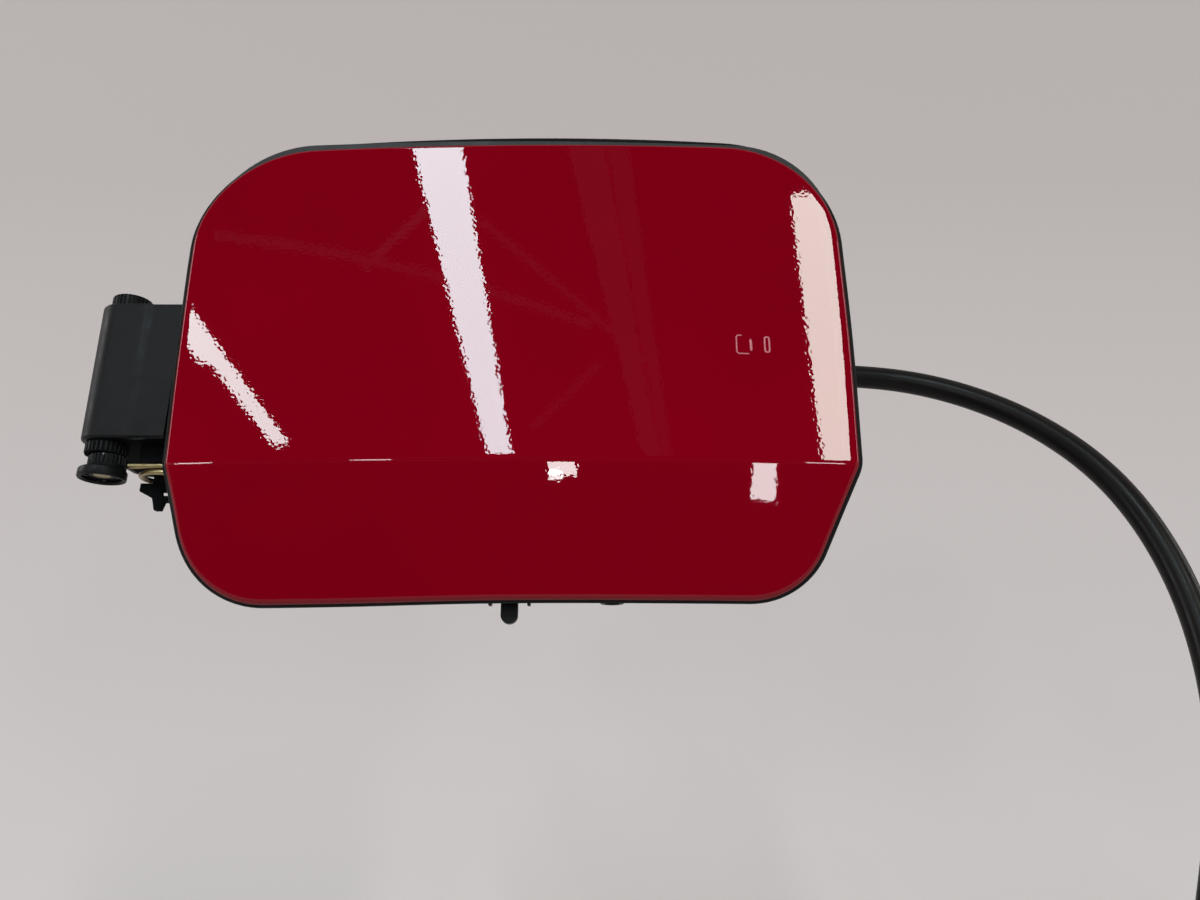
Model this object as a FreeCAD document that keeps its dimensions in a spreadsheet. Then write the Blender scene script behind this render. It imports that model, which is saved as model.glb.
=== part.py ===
"""A fuel filler flap with its bowl, gooseneck hinge, motor lock and vent hose.

Frame: +X right and +Z up as one looks at the flap from outside the car, +Y into the car. The origin is the
middle of the filler neck's opening, on the rear face of the bowl. All sizes are in millimetres.
"""
import FreeCAD, Part
import math
import os
import re
import Sketcher

# Driving sizes
SIZES = {
    # flap outline, measured from the middle of the neck
    "flap_left": 104.3,
    "flap_right": 102.4,
    "flap_top": 75.5,
    "flap_bottom": 75.6,
    "crease_drop": 36.0,
    "slant_left": 15.0,
    "slant_right": 24.0,
    "corner_top_left": 36.0,
    "corner_top_right": 31.0,
    "corner_low_left": 25.0,
    "corner_low_right": 22.0,
    "corner_crease": 6.0,
    # flap section
    "crown_radius": 1080.0,
    "crown_rise": 5.0,
    "crease_fold": 13.0,
    "skin": 0.9,
    "hem_wall": 1.2,
    "hem_depth": 2.6,
    "panel_fit": 0.1,
    "rib_height": 3.0,
    "rib_wall": 1.8,
    "rib_inset": 10.0,
    "rib_far_left": 37.5,
    "rib_near_left": 6.3,
    "rib_near_right": 24.6,
    "rib_far_right": 53.2,
    "rib_upper": 34.0,
    "rib_lower": 21.6,
    "seal_proud": 1.3,
    "seal_inset": 7.0,
    "seal_thickness": 1.8,
    "cut_room": 12.0,
    # bowl and flange
    "face_depth": 60.0,
    "flange_depth": 14.0,
    "flange_thickness": 2.5,
    "flange_inset": 3.0,
    "bowl_inset": 16.0,
    "wall": 2.2,
    "gasket_inset": 4.0,
    "gasket_width": 5.0,
    "gasket_thickness": 2.0,
    "neck_radius": 26.0,
    "neck_seal_bore": 22.0,
    "neck_seal_lip": 4.0,
    "neck_screw_circle": 37.0,
    "neck_screw_hole": 2.75,
    "drain_radius": 2.6,
    "drain_wall": 1.4,
    "drain_length": 7.0,
    "drain_offset": 30.0,
    "tab_width": 5.0,
    "tab_length": 8.0,
    "tab_offset": -0.9,
    "web_spacing": 11.5,
    "web_length": 2.6,
    # hinge
    "hinge_reach": 22.7,
    "hinge_depth": 12.0,
    "pin_radius": 2.5,
    "pin_play": 0.06,
    "box_round": 7.0,
    "box_low": 25.7,
    "box_high": 19.1,
    "box_wall": 2.0,
    "hook_play": 2.0,
    "box_lip": 3.7,
    "boss_radius": 5.9,
    "boss_length": 4.0,
    "arm_thickness": 4.0,
    "arm_play": 1.0,
    "hook_depth": 32.0,
    "hook_span": 39.0,
    "pad_start": 31.0,
    "pad_end": 74.0,
    "barrel_radius": 4.6,
    "cap_radius": 6.0,
    "cap_height": 4.2,
    "hub_radius": 6.0,
    "hub_neck": 3.8,
    "foot_radius": 7.6,
    "foot_height": 3.4,
    "foot_wall": 1.3,
    "knurl_height": 0.45,
    "knurl_count": 28,
    "turn_gap": 0.3,
    # spring corner below the hinge box
    "spring_radius": 8.6,
    "wire": 1.8,
    "coil_pitch": 2.0,
    "coil_turns": 1.25,
    "spring_reach": 17.0,
    "spring_depth": 21.0,
    "post_radius": 5.0,
    "block_height": 5.7,
    "shelf_reach": 8.5,
    "shelf_thickness": 1.2,
    "lip_height": 5.4,
    "nub_length": 2.0,
    "slot_radius": 1.3,
    # screws of the hinge arm
    "arm_screw_radius": 1.9,
    "arm_screw_head": 3.4,
    "arm_screw_length": 8.0,
    "screw_from_hook": 17.0,
    "screw_spread": 12.0,
    "screw_from_end": 7.0,
    "screw_head_height": 2.2,
    "screw_play": 0.2,
    # latch
    "striker_offset": 72.8,
    "striker_height": 2.1,
    "striker_depth": 24.0,
    "striker_thickness": 3.6,
    "striker_width": 12.0,
    "eye_radius": 4.2,
    "foot_length": 20.0,
    "foot_thickness": 2.5,
    "stop_radius": 3.0,
    "stop_upper": 30.0,
    "stop_lower": 28.8,
    # lock
    "lock_gasket_thickness": 1.0,
    "lock_pin_radius": 3.0,
    "lock_pin_play": 0.05,
    "lock_travel": 5.5,
    "tip_gap": 1.4,
    "nose_wall": 2.5,
    "nose_length": 8.0,
    "case_wall": 2.0,
    "case_front": 17.5,
    "case_back": 40.0,
    "case_low": 22.0,
    "case_high": 13.0,
    "cover_thickness": 1.8,
    "motor_radius": 5.0,
    "motor_length": 18.0,
    "shaft_radius": 1.0,
    "gear_module": 0.8,
    "gear_teeth": 10,
    "backlash": 0.3,
    "pressure_angle": 20.0,
    "lug_radius": 4.5,
    "lock_screw_radius": 1.5,
    "lock_screw_head": 3.2,
    "lock_boss": 4.0,
    "socket_length": 9.0,
    "socket_wall": 1.2,
    # vent hose
    "hose_radius": 4.0,
    "hose_bore": 2.5,
    "spigot_bore": 1.6,
    "spigot_length": 13.0,
    "spigot_depth": 50.0,
    "spigot_height": 14.1,
    "clamp_wall": 1.0,
    "clamp_width": 5.0,
}

# Places and sizes worked out from the driving sizes
PLACES = {
    "face": "-face_depth",
    "flap_reach": "flange_depth + cut_room",
    "axis_x": "-flap_left - hinge_reach",
    "axis_y": "face + hinge_depth",
    "arm_front": "axis_y - box_round",
    "arm_back": "arm_front + arm_thickness",
    "arm_low": "-box_low + box_wall + arm_play",
    "arm_high": "box_high - box_wall - arm_play",
    "arm_mid": "(arm_low + arm_high) / 2",
    "flange_front": "face + flange_depth",
    "flange_rear": "flange_front + flange_thickness",
    "bowl_left": "-flap_left + bowl_inset",
    "bowl_low": "-flap_bottom + bowl_inset",
    "box_front": "axis_y - box_round",
    "box_rear": "axis_y + hook_depth + hook_play + box_wall",
    "box_mouth": "-flap_left - box_lip",
    "boss_end": "-box_low - boss_length",
    "hub_top": "boss_end - turn_gap",
    "foot_top": "hub_top - hub_neck",
    "foot_end": "foot_top - foot_height",
    "spring_x": "axis_x + spring_reach",
    "spring_y": "face + spring_depth",
    "block_end": "-box_low - block_height",
    "coil_height": "coil_pitch * coil_turns",
    "coil_start": "block_end - wire / 2 - turn_gap - coil_height",
    "shelf_top": "coil_start - wire / 2 - turn_gap",
    "shelf_end": "shelf_top - shelf_thickness",
    "shelf_edge": "spring_x - shelf_reach",
    "web_left": "spring_x + spring_radius + wire / 2 + turn_gap",
    "web_right": "web_left + 2 * box_wall",
    "lip_front": "spring_y - box_wall",
    "wall_x": "flap_right - bowl_inset + wall",
    "case_x": "wall_x + lock_gasket_thickness",
    "lock_y": "face + striker_depth",
    "tip_x": "striker_offset + striker_thickness / 2 + tip_gap",
    "pitch_radius": "gear_module * gear_teeth / 2",
    "tooth_pitch": "gear_module * pi",
    "pinion_x": "case_x + case_wall + motor_radius + turn_gap * 2",
    "pin_end": "pinion_x + lock_travel + gear_module * 1.6",
    "cover_x": "pin_end + turn_gap * 2",
    "cover_face": "cover_x + cover_thickness",
    "pinion_y": "lock_y + lock_pin_radius - gear_module + pitch_radius",
    "motor_low": "-case_low + case_wall + turn_gap",
    "lug_low": "-case_low - lug_radius",
    "lug_high": "case_high + lug_radius",
    "lug_y": "face + (case_front + case_back) / 2",
    "spigot_y": "face + spigot_depth",
    "spigot_end": "wall_x + spigot_length",
}

# Middle line of the vent hose from the spigot's root to its free end, chosen by hand along the hang of it
HOSE_ROUTE = [
    (91.0, -10.0, 14.1),
    (118.0, -10.0, 14.1),
    (146.0, -17.0, 6.7),
    (169.0, -30.5, -10.5),
    (184.5, -45.0, -34.5),
    (192.0, -55.5, -63.5),
    (193.5, -61.0, -94.5),
    (189.0, -63.0, -125.5),
    (179.0, -62.5, -155.5),
    (169.5, -61.0, -186.5),
    (163.0, -59.0, -217.5),
    (159.5, -57.0, -248.5),
    (158.5, -55.0, -277.5),
]

doc = FreeCAD.newDocument("fuel_filler_flap")
sheet = doc.addObject("Spreadsheet::Sheet", "Sizes")
for row, (size_name, size_value) in enumerate(SIZES.items(), start=1):
    sheet.set(f"A{row}", size_name)
    sheet.set(f"B{row}", str(size_value))
    sheet.setAlias(f"B{row}", size_name)
doc.recompute()


def expand(text):
    """Write an expression with the sheet's cells in place of the names of sizes and places."""
    def swap(match):
        word = match.group(0)
        if word in PLACES:
            return "(" + expand(PLACES[word]) + ")"
        if word in SIZES:
            return "Sizes." + word
        return word
    return re.sub(r"[A-Za-z_]+", swap, text)


def bind(item, prop, text):
    item.setExpression(prop, expand(text))


def place(item, x, y, z):
    for axis, text in zip("xyz", (x, y, z)):
        bind(item, f"Placement.Base.{axis}", text)


def block(name, x, y, z):
    """A box between the low and high ends given for each axis."""
    box = doc.addObject("Part::Box", name)
    for prop, axis, (low, high) in zip(("Length", "Width", "Height"), "xyz", (x, y, z)):
        bind(box, prop, f"({high}) - ({low})")
        bind(box, f"Placement.Base.{axis}", low)
    return box


TURN = {
    "x": FreeCAD.Rotation(FreeCAD.Vector(0, 1, 0), 90),
    "y": FreeCAD.Rotation(FreeCAD.Vector(1, 0, 0), -90),
    "z": FreeCAD.Rotation(),
}


def rod(name, axis, radius, start, end, at):
    """A cylinder along an axis from start to end; at gives its other two coordinates in order."""
    cylinder = doc.addObject("Part::Cylinder", name)
    bind(cylinder, "Radius", radius)
    bind(cylinder, "Height", f"({end}) - ({start})")
    cylinder.Placement = FreeCAD.Placement(FreeCAD.Vector(), TURN[axis])
    spots = list(at)
    spots.insert("xyz".index(axis), start)
    place(cylinder, *spots)
    return cylinder


def fuse(name, *shapes):
    joined = doc.addObject("Part::MultiFuse", name)
    joined.Shapes = list(shapes)
    return joined


def common(name, first, second):
    shared = doc.addObject("Part::MultiCommon", name)
    shared.Shapes = [first, second]
    return shared


def cut(name, base, *tools):
    cleared = doc.addObject("Part::Cut", name)
    cleared.Base = base
    cleared.Tool = tools[0] if len(tools) == 1 else fuse(name + "_tools", *tools)
    return cleared


def group(name, *shapes):
    """Separate like solids that share one node."""
    gathered = doc.addObject("Part::Compound", name)
    gathered.Links = list(shapes)
    return gathered


def polygon(body, name, plane, offset, corners):
    """A closed outline of straight sides on one of the body's own planes, each corner tied to the sheet."""
    sketch = body.newObject("Sketcher::SketchObject", name)
    support = next(f for f in body.Origin.OriginFeatures if f.Role == plane)
    sketch.AttachmentSupport = [(support, "")]
    sketch.MapMode = "FlatFace"
    bind(sketch, "AttachmentOffset.Base.z", offset)
    count = len(corners)
    turns = [2 * math.pi * i / count for i in range(count)]
    ring = [FreeCAD.Vector(50 * math.cos(turn), 50 * math.sin(turn), 0) for turn in turns]
    for i in range(count):
        sketch.addGeometry(Part.LineSegment(ring[i], ring[(i + 1) % count]), False)
    for i in range(count):
        sketch.addConstraint(Sketcher.Constraint("Coincident", i, 2, (i + 1) % count, 1))
    for i, (across, up) in enumerate(corners):
        for kind, start, text in (("DistanceX", ring[i].x, across), ("DistanceY", ring[i].y, up)):
            number = sketch.addConstraint(Sketcher.Constraint(kind, -1, 1, i, 1, start))
            sketch.setExpression(f"Constraints[{number}]", expand(text))
    return sketch


def pad(body, name, sketch, length):
    grown = body.newObject("PartDesign::Pad", name)
    grown.Profile = sketch
    bind(grown, "Length", length)
    return grown


def round_corners(body, name, feature, sketch, axis, radii):
    """Round the padded edges that stand on the sketch's numbered corners, one fillet for each radius."""
    across, up = [i for i in range(3) if i != "xyz".index(axis)]
    for number, (corners, radius) in enumerate(radii):
        doc.recompute()
        spots = [sketch.Geometry[i].StartPoint for i in corners]
        picked = []
        for index, edge in enumerate(feature.Shape.Edges, start=1):
            ends = [vertex.Point for vertex in edge.Vertexes]
            upright = len(ends) == 2 and all(abs(ends[0][k] - ends[1][k]) < 1e-6 for k in (across, up))
            middle = edge.CenterOfMass
            if upright and any(math.hypot(middle[across] - s.x, middle[up] - s.y) < 1e-4 for s in spots):
                picked.append(f"Edge{index}")
        rounded = body.newObject("PartDesign::Fillet", f"{name}_round_{number}")
        rounded.Base = (feature, picked)
        bind(rounded, "Radius", radius)
        feature = rounded
    return feature


def outline_prism(name, inset, front, back):
    """The flap's outline drawn in by inset, as a prism between two places along Y."""
    body = doc.addObject("PartDesign::Body", name)
    low_run = f"(flap_bottom - crease_drop - ({inset}))"
    left_low = f"-flap_left + {low_run} * tan(slant_left) + ({inset}) / cos(slant_left)"
    right_low = f"flap_right - {low_run} * tan(slant_right) - ({inset}) / cos(slant_right)"
    corners = [
        (f"-flap_left + ({inset})", f"flap_top - ({inset})"),
        (f"-flap_left + ({inset})", f"-crease_drop + ({inset}) * tan(slant_left / 2)"),
        (left_low, f"-flap_bottom + ({inset})"),
        (right_low, f"-flap_bottom + ({inset})"),
        (f"flap_right - ({inset})", f"-crease_drop + ({inset}) * tan(slant_right / 2)"),
        (f"flap_right - ({inset})", f"flap_top - ({inset})"),
    ]
    sketch = polygon(body, name + "_outline", "XZ_Plane", f"-({back})", corners)
    grown = pad(body, name + "_pad", sketch, f"({back}) - ({front})")
    round_corners(body, name, grown, sketch, "y", [
        ([0], f"max(corner_top_left - ({inset}); skin)"),
        ([5], f"max(corner_top_right - ({inset}); skin)"),
        ([2], f"max(corner_low_left - ({inset}); skin)"),
        ([3], f"max(corner_low_right - ({inset}); skin)"),
        ([1, 4], "corner_crease"),
    ])
    return body


def crown(name, offset):
    """Everything behind the flap's crowned and creased face, moved back by offset along Y.

    The face's section is upright above the crease and leans back below it. It turns about an upright axis
    far inside the car, which bows it from side to side.
    """
    body = doc.addObject("PartDesign::Body", name)
    front = f"-crown_radius + ({offset})"
    back = "-crown_radius + crown_rise + flap_reach"
    top = "flap_top + cut_room"
    bottom = "flap_bottom + cut_room"
    corners = [
        (front, top),
        (front, "-crease_drop"),
        (f"{front} + ({bottom} - crease_drop) * tan(crease_fold)", f"-({bottom})"),
        (back, f"-({bottom})"),
        (back, top),
    ]
    sketch = polygon(body, name + "_section", "YZ_Plane", "0", corners)
    bind(sketch, "AttachmentOffset.Base.x", "face - crown_rise + crown_radius")
    turned = body.newObject("PartDesign::Revolution", name + "_turn")
    turned.Profile = sketch
    turned.ReferenceAxis = (sketch, ["V_Axis"])
    turned.Midplane = True
    bind(turned, "Angle", "2 * asin((flap_left + cut_room * 2) / crown_radius)")
    return body


def upright_prism(name, low, high, corners, radii):
    """A prism along Z from an outline in the XY plane, with rounded corners."""
    body = doc.addObject("PartDesign::Body", name)
    sketch = polygon(body, name + "_outline", "XY_Plane", low, corners)
    grown = pad(body, name + "_pad", sketch, f"({high}) - ({low})")
    round_corners(body, name, grown, sketch, "z", radii)
    return body


def toothed_round(name, core, low, high, tooth, count, at):
    """A round blank about an upright axis with a ring of like ribs or teeth standing on its side."""
    body = doc.addObject("PartDesign::Body", name)
    sketch = body.newObject("Sketcher::SketchObject", name + "_circle")
    support = next(f for f in body.Origin.OriginFeatures if f.Role == "XY_Plane")
    sketch.AttachmentSupport = [(support, "")]
    sketch.MapMode = "FlatFace"
    bind(sketch, "AttachmentOffset.Base.z", low)
    sketch.addGeometry(Part.Circle(FreeCAD.Vector(), FreeCAD.Vector(0, 0, 1), 5.0), False)
    sketch.addConstraint(Sketcher.Constraint("Coincident", 0, 3, -1, 1))
    number = sketch.addConstraint(Sketcher.Constraint("Radius", 0, 5.0))
    sketch.setExpression(f"Constraints[{number}]", expand(core))
    pad(body, name + "_core", sketch, f"({high}) - ({low})")
    tooth_sketch = polygon(body, name + "_tooth_section", "XY_Plane", low, tooth)
    tooth_pad = pad(body, name + "_tooth", tooth_sketch, f"({high}) - ({low})")
    around = body.newObject("PartDesign::PolarPattern", name + "_teeth")
    around.Originals = [tooth_pad]
    around.Axis = (sketch, ["N_Axis"])
    around.Angle = 360
    bind(around, "Occurrences", count)
    body.Tip = around
    place(body, *at, "0")
    return body


HINGE_AT = ("axis_x", "axis_y")


def knurled(name, radius, low, high):
    """A round grip about the hinge axis with small upright ribs."""
    rib = [
        (f"{radius} - 3 * knurl_height", "-knurl_height"),
        (radius, "-knurl_height / 2"),
        (radius, "knurl_height / 2"),
        (f"{radius} - 3 * knurl_height", "knurl_height"),
    ]
    return toothed_round(name, f"{radius} - knurl_height", low, high, rib, "knurl_count", HINGE_AT)


# Flap skin, carrier and seal
flap_front = "face - crown_rise - cut_room"
flap_back = "face + flap_reach"
face_solid = crown("face_solid", "0")
skin_solid = crown("skin_solid", "skin")
carrier_solid = crown("carrier_solid", "skin + panel_fit")
rib_root_solid = crown("rib_root_solid", "hem_depth - panel_fit")
hem_solid = crown("hem_solid", "hem_depth")
seal_solid = crown("seal_solid", "hem_depth + seal_thickness")
rib_solid = crown("rib_solid", "hem_depth + rib_height")

skin_prism = outline_prism("skin_prism", "0", flap_front, flap_back)
hem_prism = outline_prism("hem_prism", "hem_wall", flap_front, flap_back)
carrier_prism = outline_prism("carrier_prism", "hem_wall + panel_fit", flap_front, flap_back)
rib_prism = outline_prism("rib_prism", "rib_inset", flap_front, flap_back)
rib_inner_prism = outline_prism("rib_inner_prism", "rib_inset + rib_wall", flap_front, flap_back)
seal_prism = outline_prism("seal_prism", "-seal_proud", flap_front, flap_back)
seal_inner_prism = outline_prism("seal_inner_prism", "seal_inset", flap_front, flap_back)

tray = common("tray", skin_prism, face_solid)
tray_inside = common("tray_inside", hem_prism, skin_solid)
outer_panel = cut("outer_panel", tray, tray_inside, hem_solid)

carrier_plate = cut("carrier_plate", common("carrier_core", carrier_prism, carrier_solid), hem_solid)
upright_ribs = [
    block(f"upright_rib_{n}", (f"{x} - rib_wall / 2", f"{x} + rib_wall / 2"), (flap_front, flap_back),
          ("-flap_bottom", "flap_top"))
    for n, x in enumerate(("-rib_far_left", "-rib_near_left", "rib_near_right", "rib_far_right"))
]
level_ribs = [
    block(f"level_rib_{n}", ("-flap_left", "flap_right"), (flap_front, flap_back),
          (f"{z} - rib_wall / 2", f"{z} + rib_wall / 2"))
    for n, z in enumerate(("rib_upper", "-rib_lower"))
]
rib_ring = cut("rib_ring", rib_prism, rib_inner_prism)
rib_grid = common("rib_grid", fuse("rib_lattice", *upright_ribs, *level_ribs), rib_prism)
stop_inset = "(gasket_inset + gasket_width + bowl_inset) / 2"
stop_spots = [(f"flap_right - {stop_inset}", z) for z in ("stop_upper", "-stop_lower")]
stop_seats = [rod(f"stop_seat_{n}", "y", "stop_radius", flap_front, flap_back, spot)
              for n, spot in enumerate(stop_spots)]
rib_net = fuse("rib_net", rib_ring, rib_grid, *stop_seats)
ribs = cut("ribs", common("rib_rows", rib_net, rib_root_solid), rib_solid)
arm_seat = block("arm_seat", ("axis_x + pad_start", "axis_x + pad_end"), (flap_front, "arm_front"),
                 ("arm_low", "arm_high"))
foot_low = "striker_height - striker_width / 2 - rib_wall"
foot_high = "striker_height + striker_width / 2 + rib_wall"
foot_x = ("striker_offset - foot_length / 2", "striker_offset + foot_length / 2")
striker_seat = block("striker_seat", foot_x, (flap_front, "arm_front"), (foot_low, foot_high))
seats = common("seats", fuse("seat_blocks", arm_seat, striker_seat), rib_root_solid)
screw_row = "axis_x + pad_start + screw_from_hook"
screw_spots = [
    (screw_row, "arm_mid + screw_spread"),
    (screw_row, "arm_mid - screw_spread"),
    ("axis_x + pad_end - screw_from_end", "arm_mid"),
]
screw_tip = "arm_back - arm_screw_length"
pilot_holes = [rod(f"pilot_{n}", "y", "arm_screw_radius", screw_tip, "arm_back", spot)
               for n, spot in enumerate(screw_spots)]
inner_panel = cut("inner_panel", fuse("carrier", carrier_plate, ribs, seats), *pilot_holes)

seal_ring = cut("seal_ring", seal_prism, seal_inner_prism)
edge_seal = cut("edge_seal", common("seal_band", seal_ring, hem_solid), seal_solid)

# Gooseneck hinge arm: a hook from the pin, round the edge of the car's skin, to a pad on the flap
hook_left = "axis_x - arm_thickness / 2"
hook_right = "axis_x + hook_span"
hook_far = "axis_y + hook_depth"
hook_near = "axis_y + hook_depth - arm_thickness"
hook = upright_prism("hook", "arm_low", "arm_high", [
    (hook_left, "axis_y"),
    (hook_left, hook_far),
    (hook_right, hook_far),
    (hook_right, "arm_back"),
    ("axis_x + pad_end", "arm_back"),
    ("axis_x + pad_end", "arm_front"),
    ("axis_x + pad_start", "arm_front"),
    ("axis_x + pad_start", "arm_back"),
    ("axis_x + hook_span - arm_thickness", "arm_back"),
    ("axis_x + hook_span - arm_thickness", hook_near),
    ("axis_x + arm_thickness / 2", hook_near),
    ("axis_x + arm_thickness / 2", "axis_y"),
], [([1, 2], "arm_thickness * 2.25"), ([9, 10], "arm_thickness * 1.25"), ([3], "arm_thickness / 2")])
barrel = rod("barrel", "z", "barrel_radius", "arm_low", "arm_high", HINGE_AT)
barrel_bore = rod("barrel_bore", "z", "pin_radius", "arm_low", "arm_high", HINGE_AT)
pad_holes = [rod(f"pad_hole_{n}", "y", "arm_screw_radius + screw_play", "arm_front", "arm_back", spot)
             for n, spot in enumerate(screw_spots)]
hinge_arm = cut("hinge_arm", fuse("arm_blank", hook, barrel), barrel_bore, *pad_holes)

arm_screw_solids = []
for n, spot in enumerate(screw_spots):
    shank = rod(f"arm_screw_shank_{n}", "y", "arm_screw_radius", screw_tip, "arm_back", spot)
    head_top = "arm_back + screw_head_height"
    head = rod(f"arm_screw_head_{n}", "y", "arm_screw_head", "arm_back", head_top, spot)
    socket = rod(f"arm_screw_socket_{n}", "y", "arm_screw_radius / 2", "arm_back + screw_head_height / 2",
                 head_top, spot)
    arm_screw_solids.append(cut(f"arm_screw_{n}", fuse(f"arm_screw_blank_{n}", shank, head), socket))
arm_screws = group("arm_screws", *arm_screw_solids)

# Hinge pin with its knurled cap and hub, which turn with the arm
cap_low = "box_high + turn_gap"
pin_top = "box_high + turn_gap + cap_height / 2"
hinge_pin = rod("hinge_pin", "z", "pin_radius", "foot_end + foot_wall", pin_top, HINGE_AT)
cap_blank = knurled("cap_blank", "cap_radius", cap_low, f"{cap_low} + cap_height")
cap_bore = rod("cap_bore", "z", "pin_radius", "box_high", pin_top, HINGE_AT)
upper_pin_cap = cut("upper_pin_cap", cap_blank, cap_bore)

hub_neck_blank = knurled("hub_neck_blank", "hub_radius", "foot_top", "hub_top")
foot_disc = rod("foot_disc", "z", "foot_radius", "foot_end", "foot_top", HINGE_AT)
foot_hollow = rod("foot_hollow", "z", "foot_radius - foot_wall", "foot_end", "foot_top - foot_wall",
                  HINGE_AT)
foot_inner = ("foot_end + foot_wall", "foot_top")
foot_socket = rod("foot_socket", "z", "pin_radius + foot_wall", *foot_inner, HINGE_AT)
spoke_span = "foot_radius - foot_wall / 2"
spoke_x = block("spoke_x", (f"axis_x - ({spoke_span})", f"axis_x + {spoke_span}"),
                ("axis_y - foot_wall / 2", "axis_y + foot_wall / 2"), foot_inner)
spoke_y = block("spoke_y", ("axis_x - foot_wall / 2", "axis_x + foot_wall / 2"),
                (f"axis_y - ({spoke_span})", f"axis_y + {spoke_span}"), foot_inner)
foot = fuse("foot", cut("foot_shell", foot_disc, foot_hollow), foot_socket, spoke_x, spoke_y)
hub_bore = rod("hub_bore", "z", "pin_radius", "foot_end", "hub_top", HINGE_AT)
lower_pin_hub = cut("lower_pin_hub", fuse("hub_blank", hub_neck_blank, foot), hub_bore)

# Latch striker and rubber stops on the inside of the flap
blade_x = ("striker_offset - striker_thickness / 2", "striker_offset + striker_thickness / 2")
blade_z = ("striker_height - striker_width / 2", "striker_height + striker_width / 2")
striker_foot = block("striker_foot", foot_x, ("arm_front", "arm_front + foot_thickness"), blade_z)
blade = block("blade", blade_x, ("arm_front", "lock_y"), blade_z)
blade_end = rod("blade_end", "x", "striker_width / 2", *blade_x, ("lock_y", "striker_height"))
eye = rod("eye", "x", "eye_radius", *blade_x, ("lock_y", "striker_height"))
latch_striker = cut("latch_striker", fuse("striker_blank", striker_foot, blade, blade_end), eye)

stop_solids = []
for n, spot in enumerate(stop_spots):
    stop_rod = rod(f"stop_rod_{n}", "y", "stop_radius", flap_front, "flange_front - turn_gap", spot)
    stop_solids.append(common(f"stop_{n}", stop_rod, rib_solid))
bump_stops = group("bump_stops", *stop_solids)

# Filler bowl with its flange and hinge box
flange = cut("flange", outline_prism("flange_prism", "flange_inset", "flange_front", "flange_rear"),
             outline_prism("flange_hole", "bowl_inset", "flange_front", "flange_rear"))
bowl = cut("bowl", outline_prism("bowl_outside", "bowl_inset - wall", "flange_front", "0"),
           outline_prism("bowl_inside", "bowl_inset", "flange_front", "-wall"))
box_left = "axis_x - box_round"
hinge_box = upright_prism("hinge_box", "-box_low", "box_high", [
    (box_left, "box_front"),
    (box_left, "box_rear"),
    ("bowl_left - wall / 2", "box_rear"),
    ("bowl_left - wall / 2", "box_front"),
], [([0, 1], "box_round - turn_gap")])
box_inside = upright_prism("box_inside", "-box_low + box_wall", "box_high - box_wall", [
    (f"{box_left} + box_wall", "box_front + box_wall"),
    (f"{box_left} + box_wall", "box_rear - box_wall"),
    ("bowl_left + wall", "box_rear - box_wall"),
    ("bowl_left + wall", "box_front + box_wall"),
], [([0, 1], "box_round - box_wall")])
box_opening = block("box_opening", ("box_mouth", "bowl_left + wall"), ("box_front", "box_rear - box_wall"),
                    ("-box_low + box_wall", "box_high - box_wall"))
box_trim = block("box_trim", ("box_mouth", "bowl_left"), ("box_front", "flange_front"),
                 ("-box_low", "box_high"))
lower_boss = rod("lower_boss", "z", "boss_radius", "boss_end", "-box_low", HINGE_AT)
pin_holes = rod("pin_holes", "z", "pin_radius + pin_play", "boss_end", "box_high", HINGE_AT)

# Corner below the hinge box: block, spring post, shelf and slotted lip
spring_block = block("spring_block", ("spring_x - post_radius - wire", "web_right"),
                     ("spring_y - spring_radius", "spring_y + spring_radius"), ("block_end", "-box_low"))
spring_post = rod("spring_post", "z", "post_radius", "shelf_top", "block_end", ("spring_x", "spring_y"))
spring_web = block("spring_web", ("web_left", "web_right"), ("lip_front", "spring_y + spring_radius"),
                   ("shelf_end", "block_end"))
shelf = block("shelf", ("shelf_edge", "web_right"), ("lip_front", "spring_y + post_radius"),
              ("shelf_end", "shelf_top"))
lip_body = doc.addObject("PartDesign::Body", "lip_body")
lip_low = "shelf_end - lip_height"
lip_outline = polygon(lip_body, "lip_outline", "XZ_Plane", "-(lip_front + box_wall)", [
    ("shelf_edge", "shelf_top"),
    ("shelf_edge", "shelf_end - lip_height / 4"),
    ("shelf_edge + lip_height * 0.8", f"{lip_low} + lip_height / 3"),
    ("shelf_edge + lip_height", f"{lip_low} - nub_length"),
    ("shelf_edge + lip_height * 1.35", f"{lip_low} - nub_length"),
    ("shelf_edge + lip_height * 1.5", f"{lip_low} + lip_height / 8"),
    ("web_right", lip_low),
    ("web_right", "shelf_top"),
])
pad(lip_body, "lip_pad", lip_outline, "box_wall")
slot_z = "shelf_end - slot_radius * 1.2"
slot_start = "shelf_edge + lip_height * 1.5"
slot_x = (slot_start, f"{slot_start} + slot_radius * 2")
lip_y = ("lip_front", "lip_front + box_wall")
slot_ends = [rod(f"slot_end_{n}", "y", "slot_radius", *lip_y, (x, slot_z)) for n, x in enumerate(slot_x)]
slot_middle = block("slot_middle", slot_x, lip_y, (f"{slot_z} - slot_radius", f"{slot_z} + slot_radius"))

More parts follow.
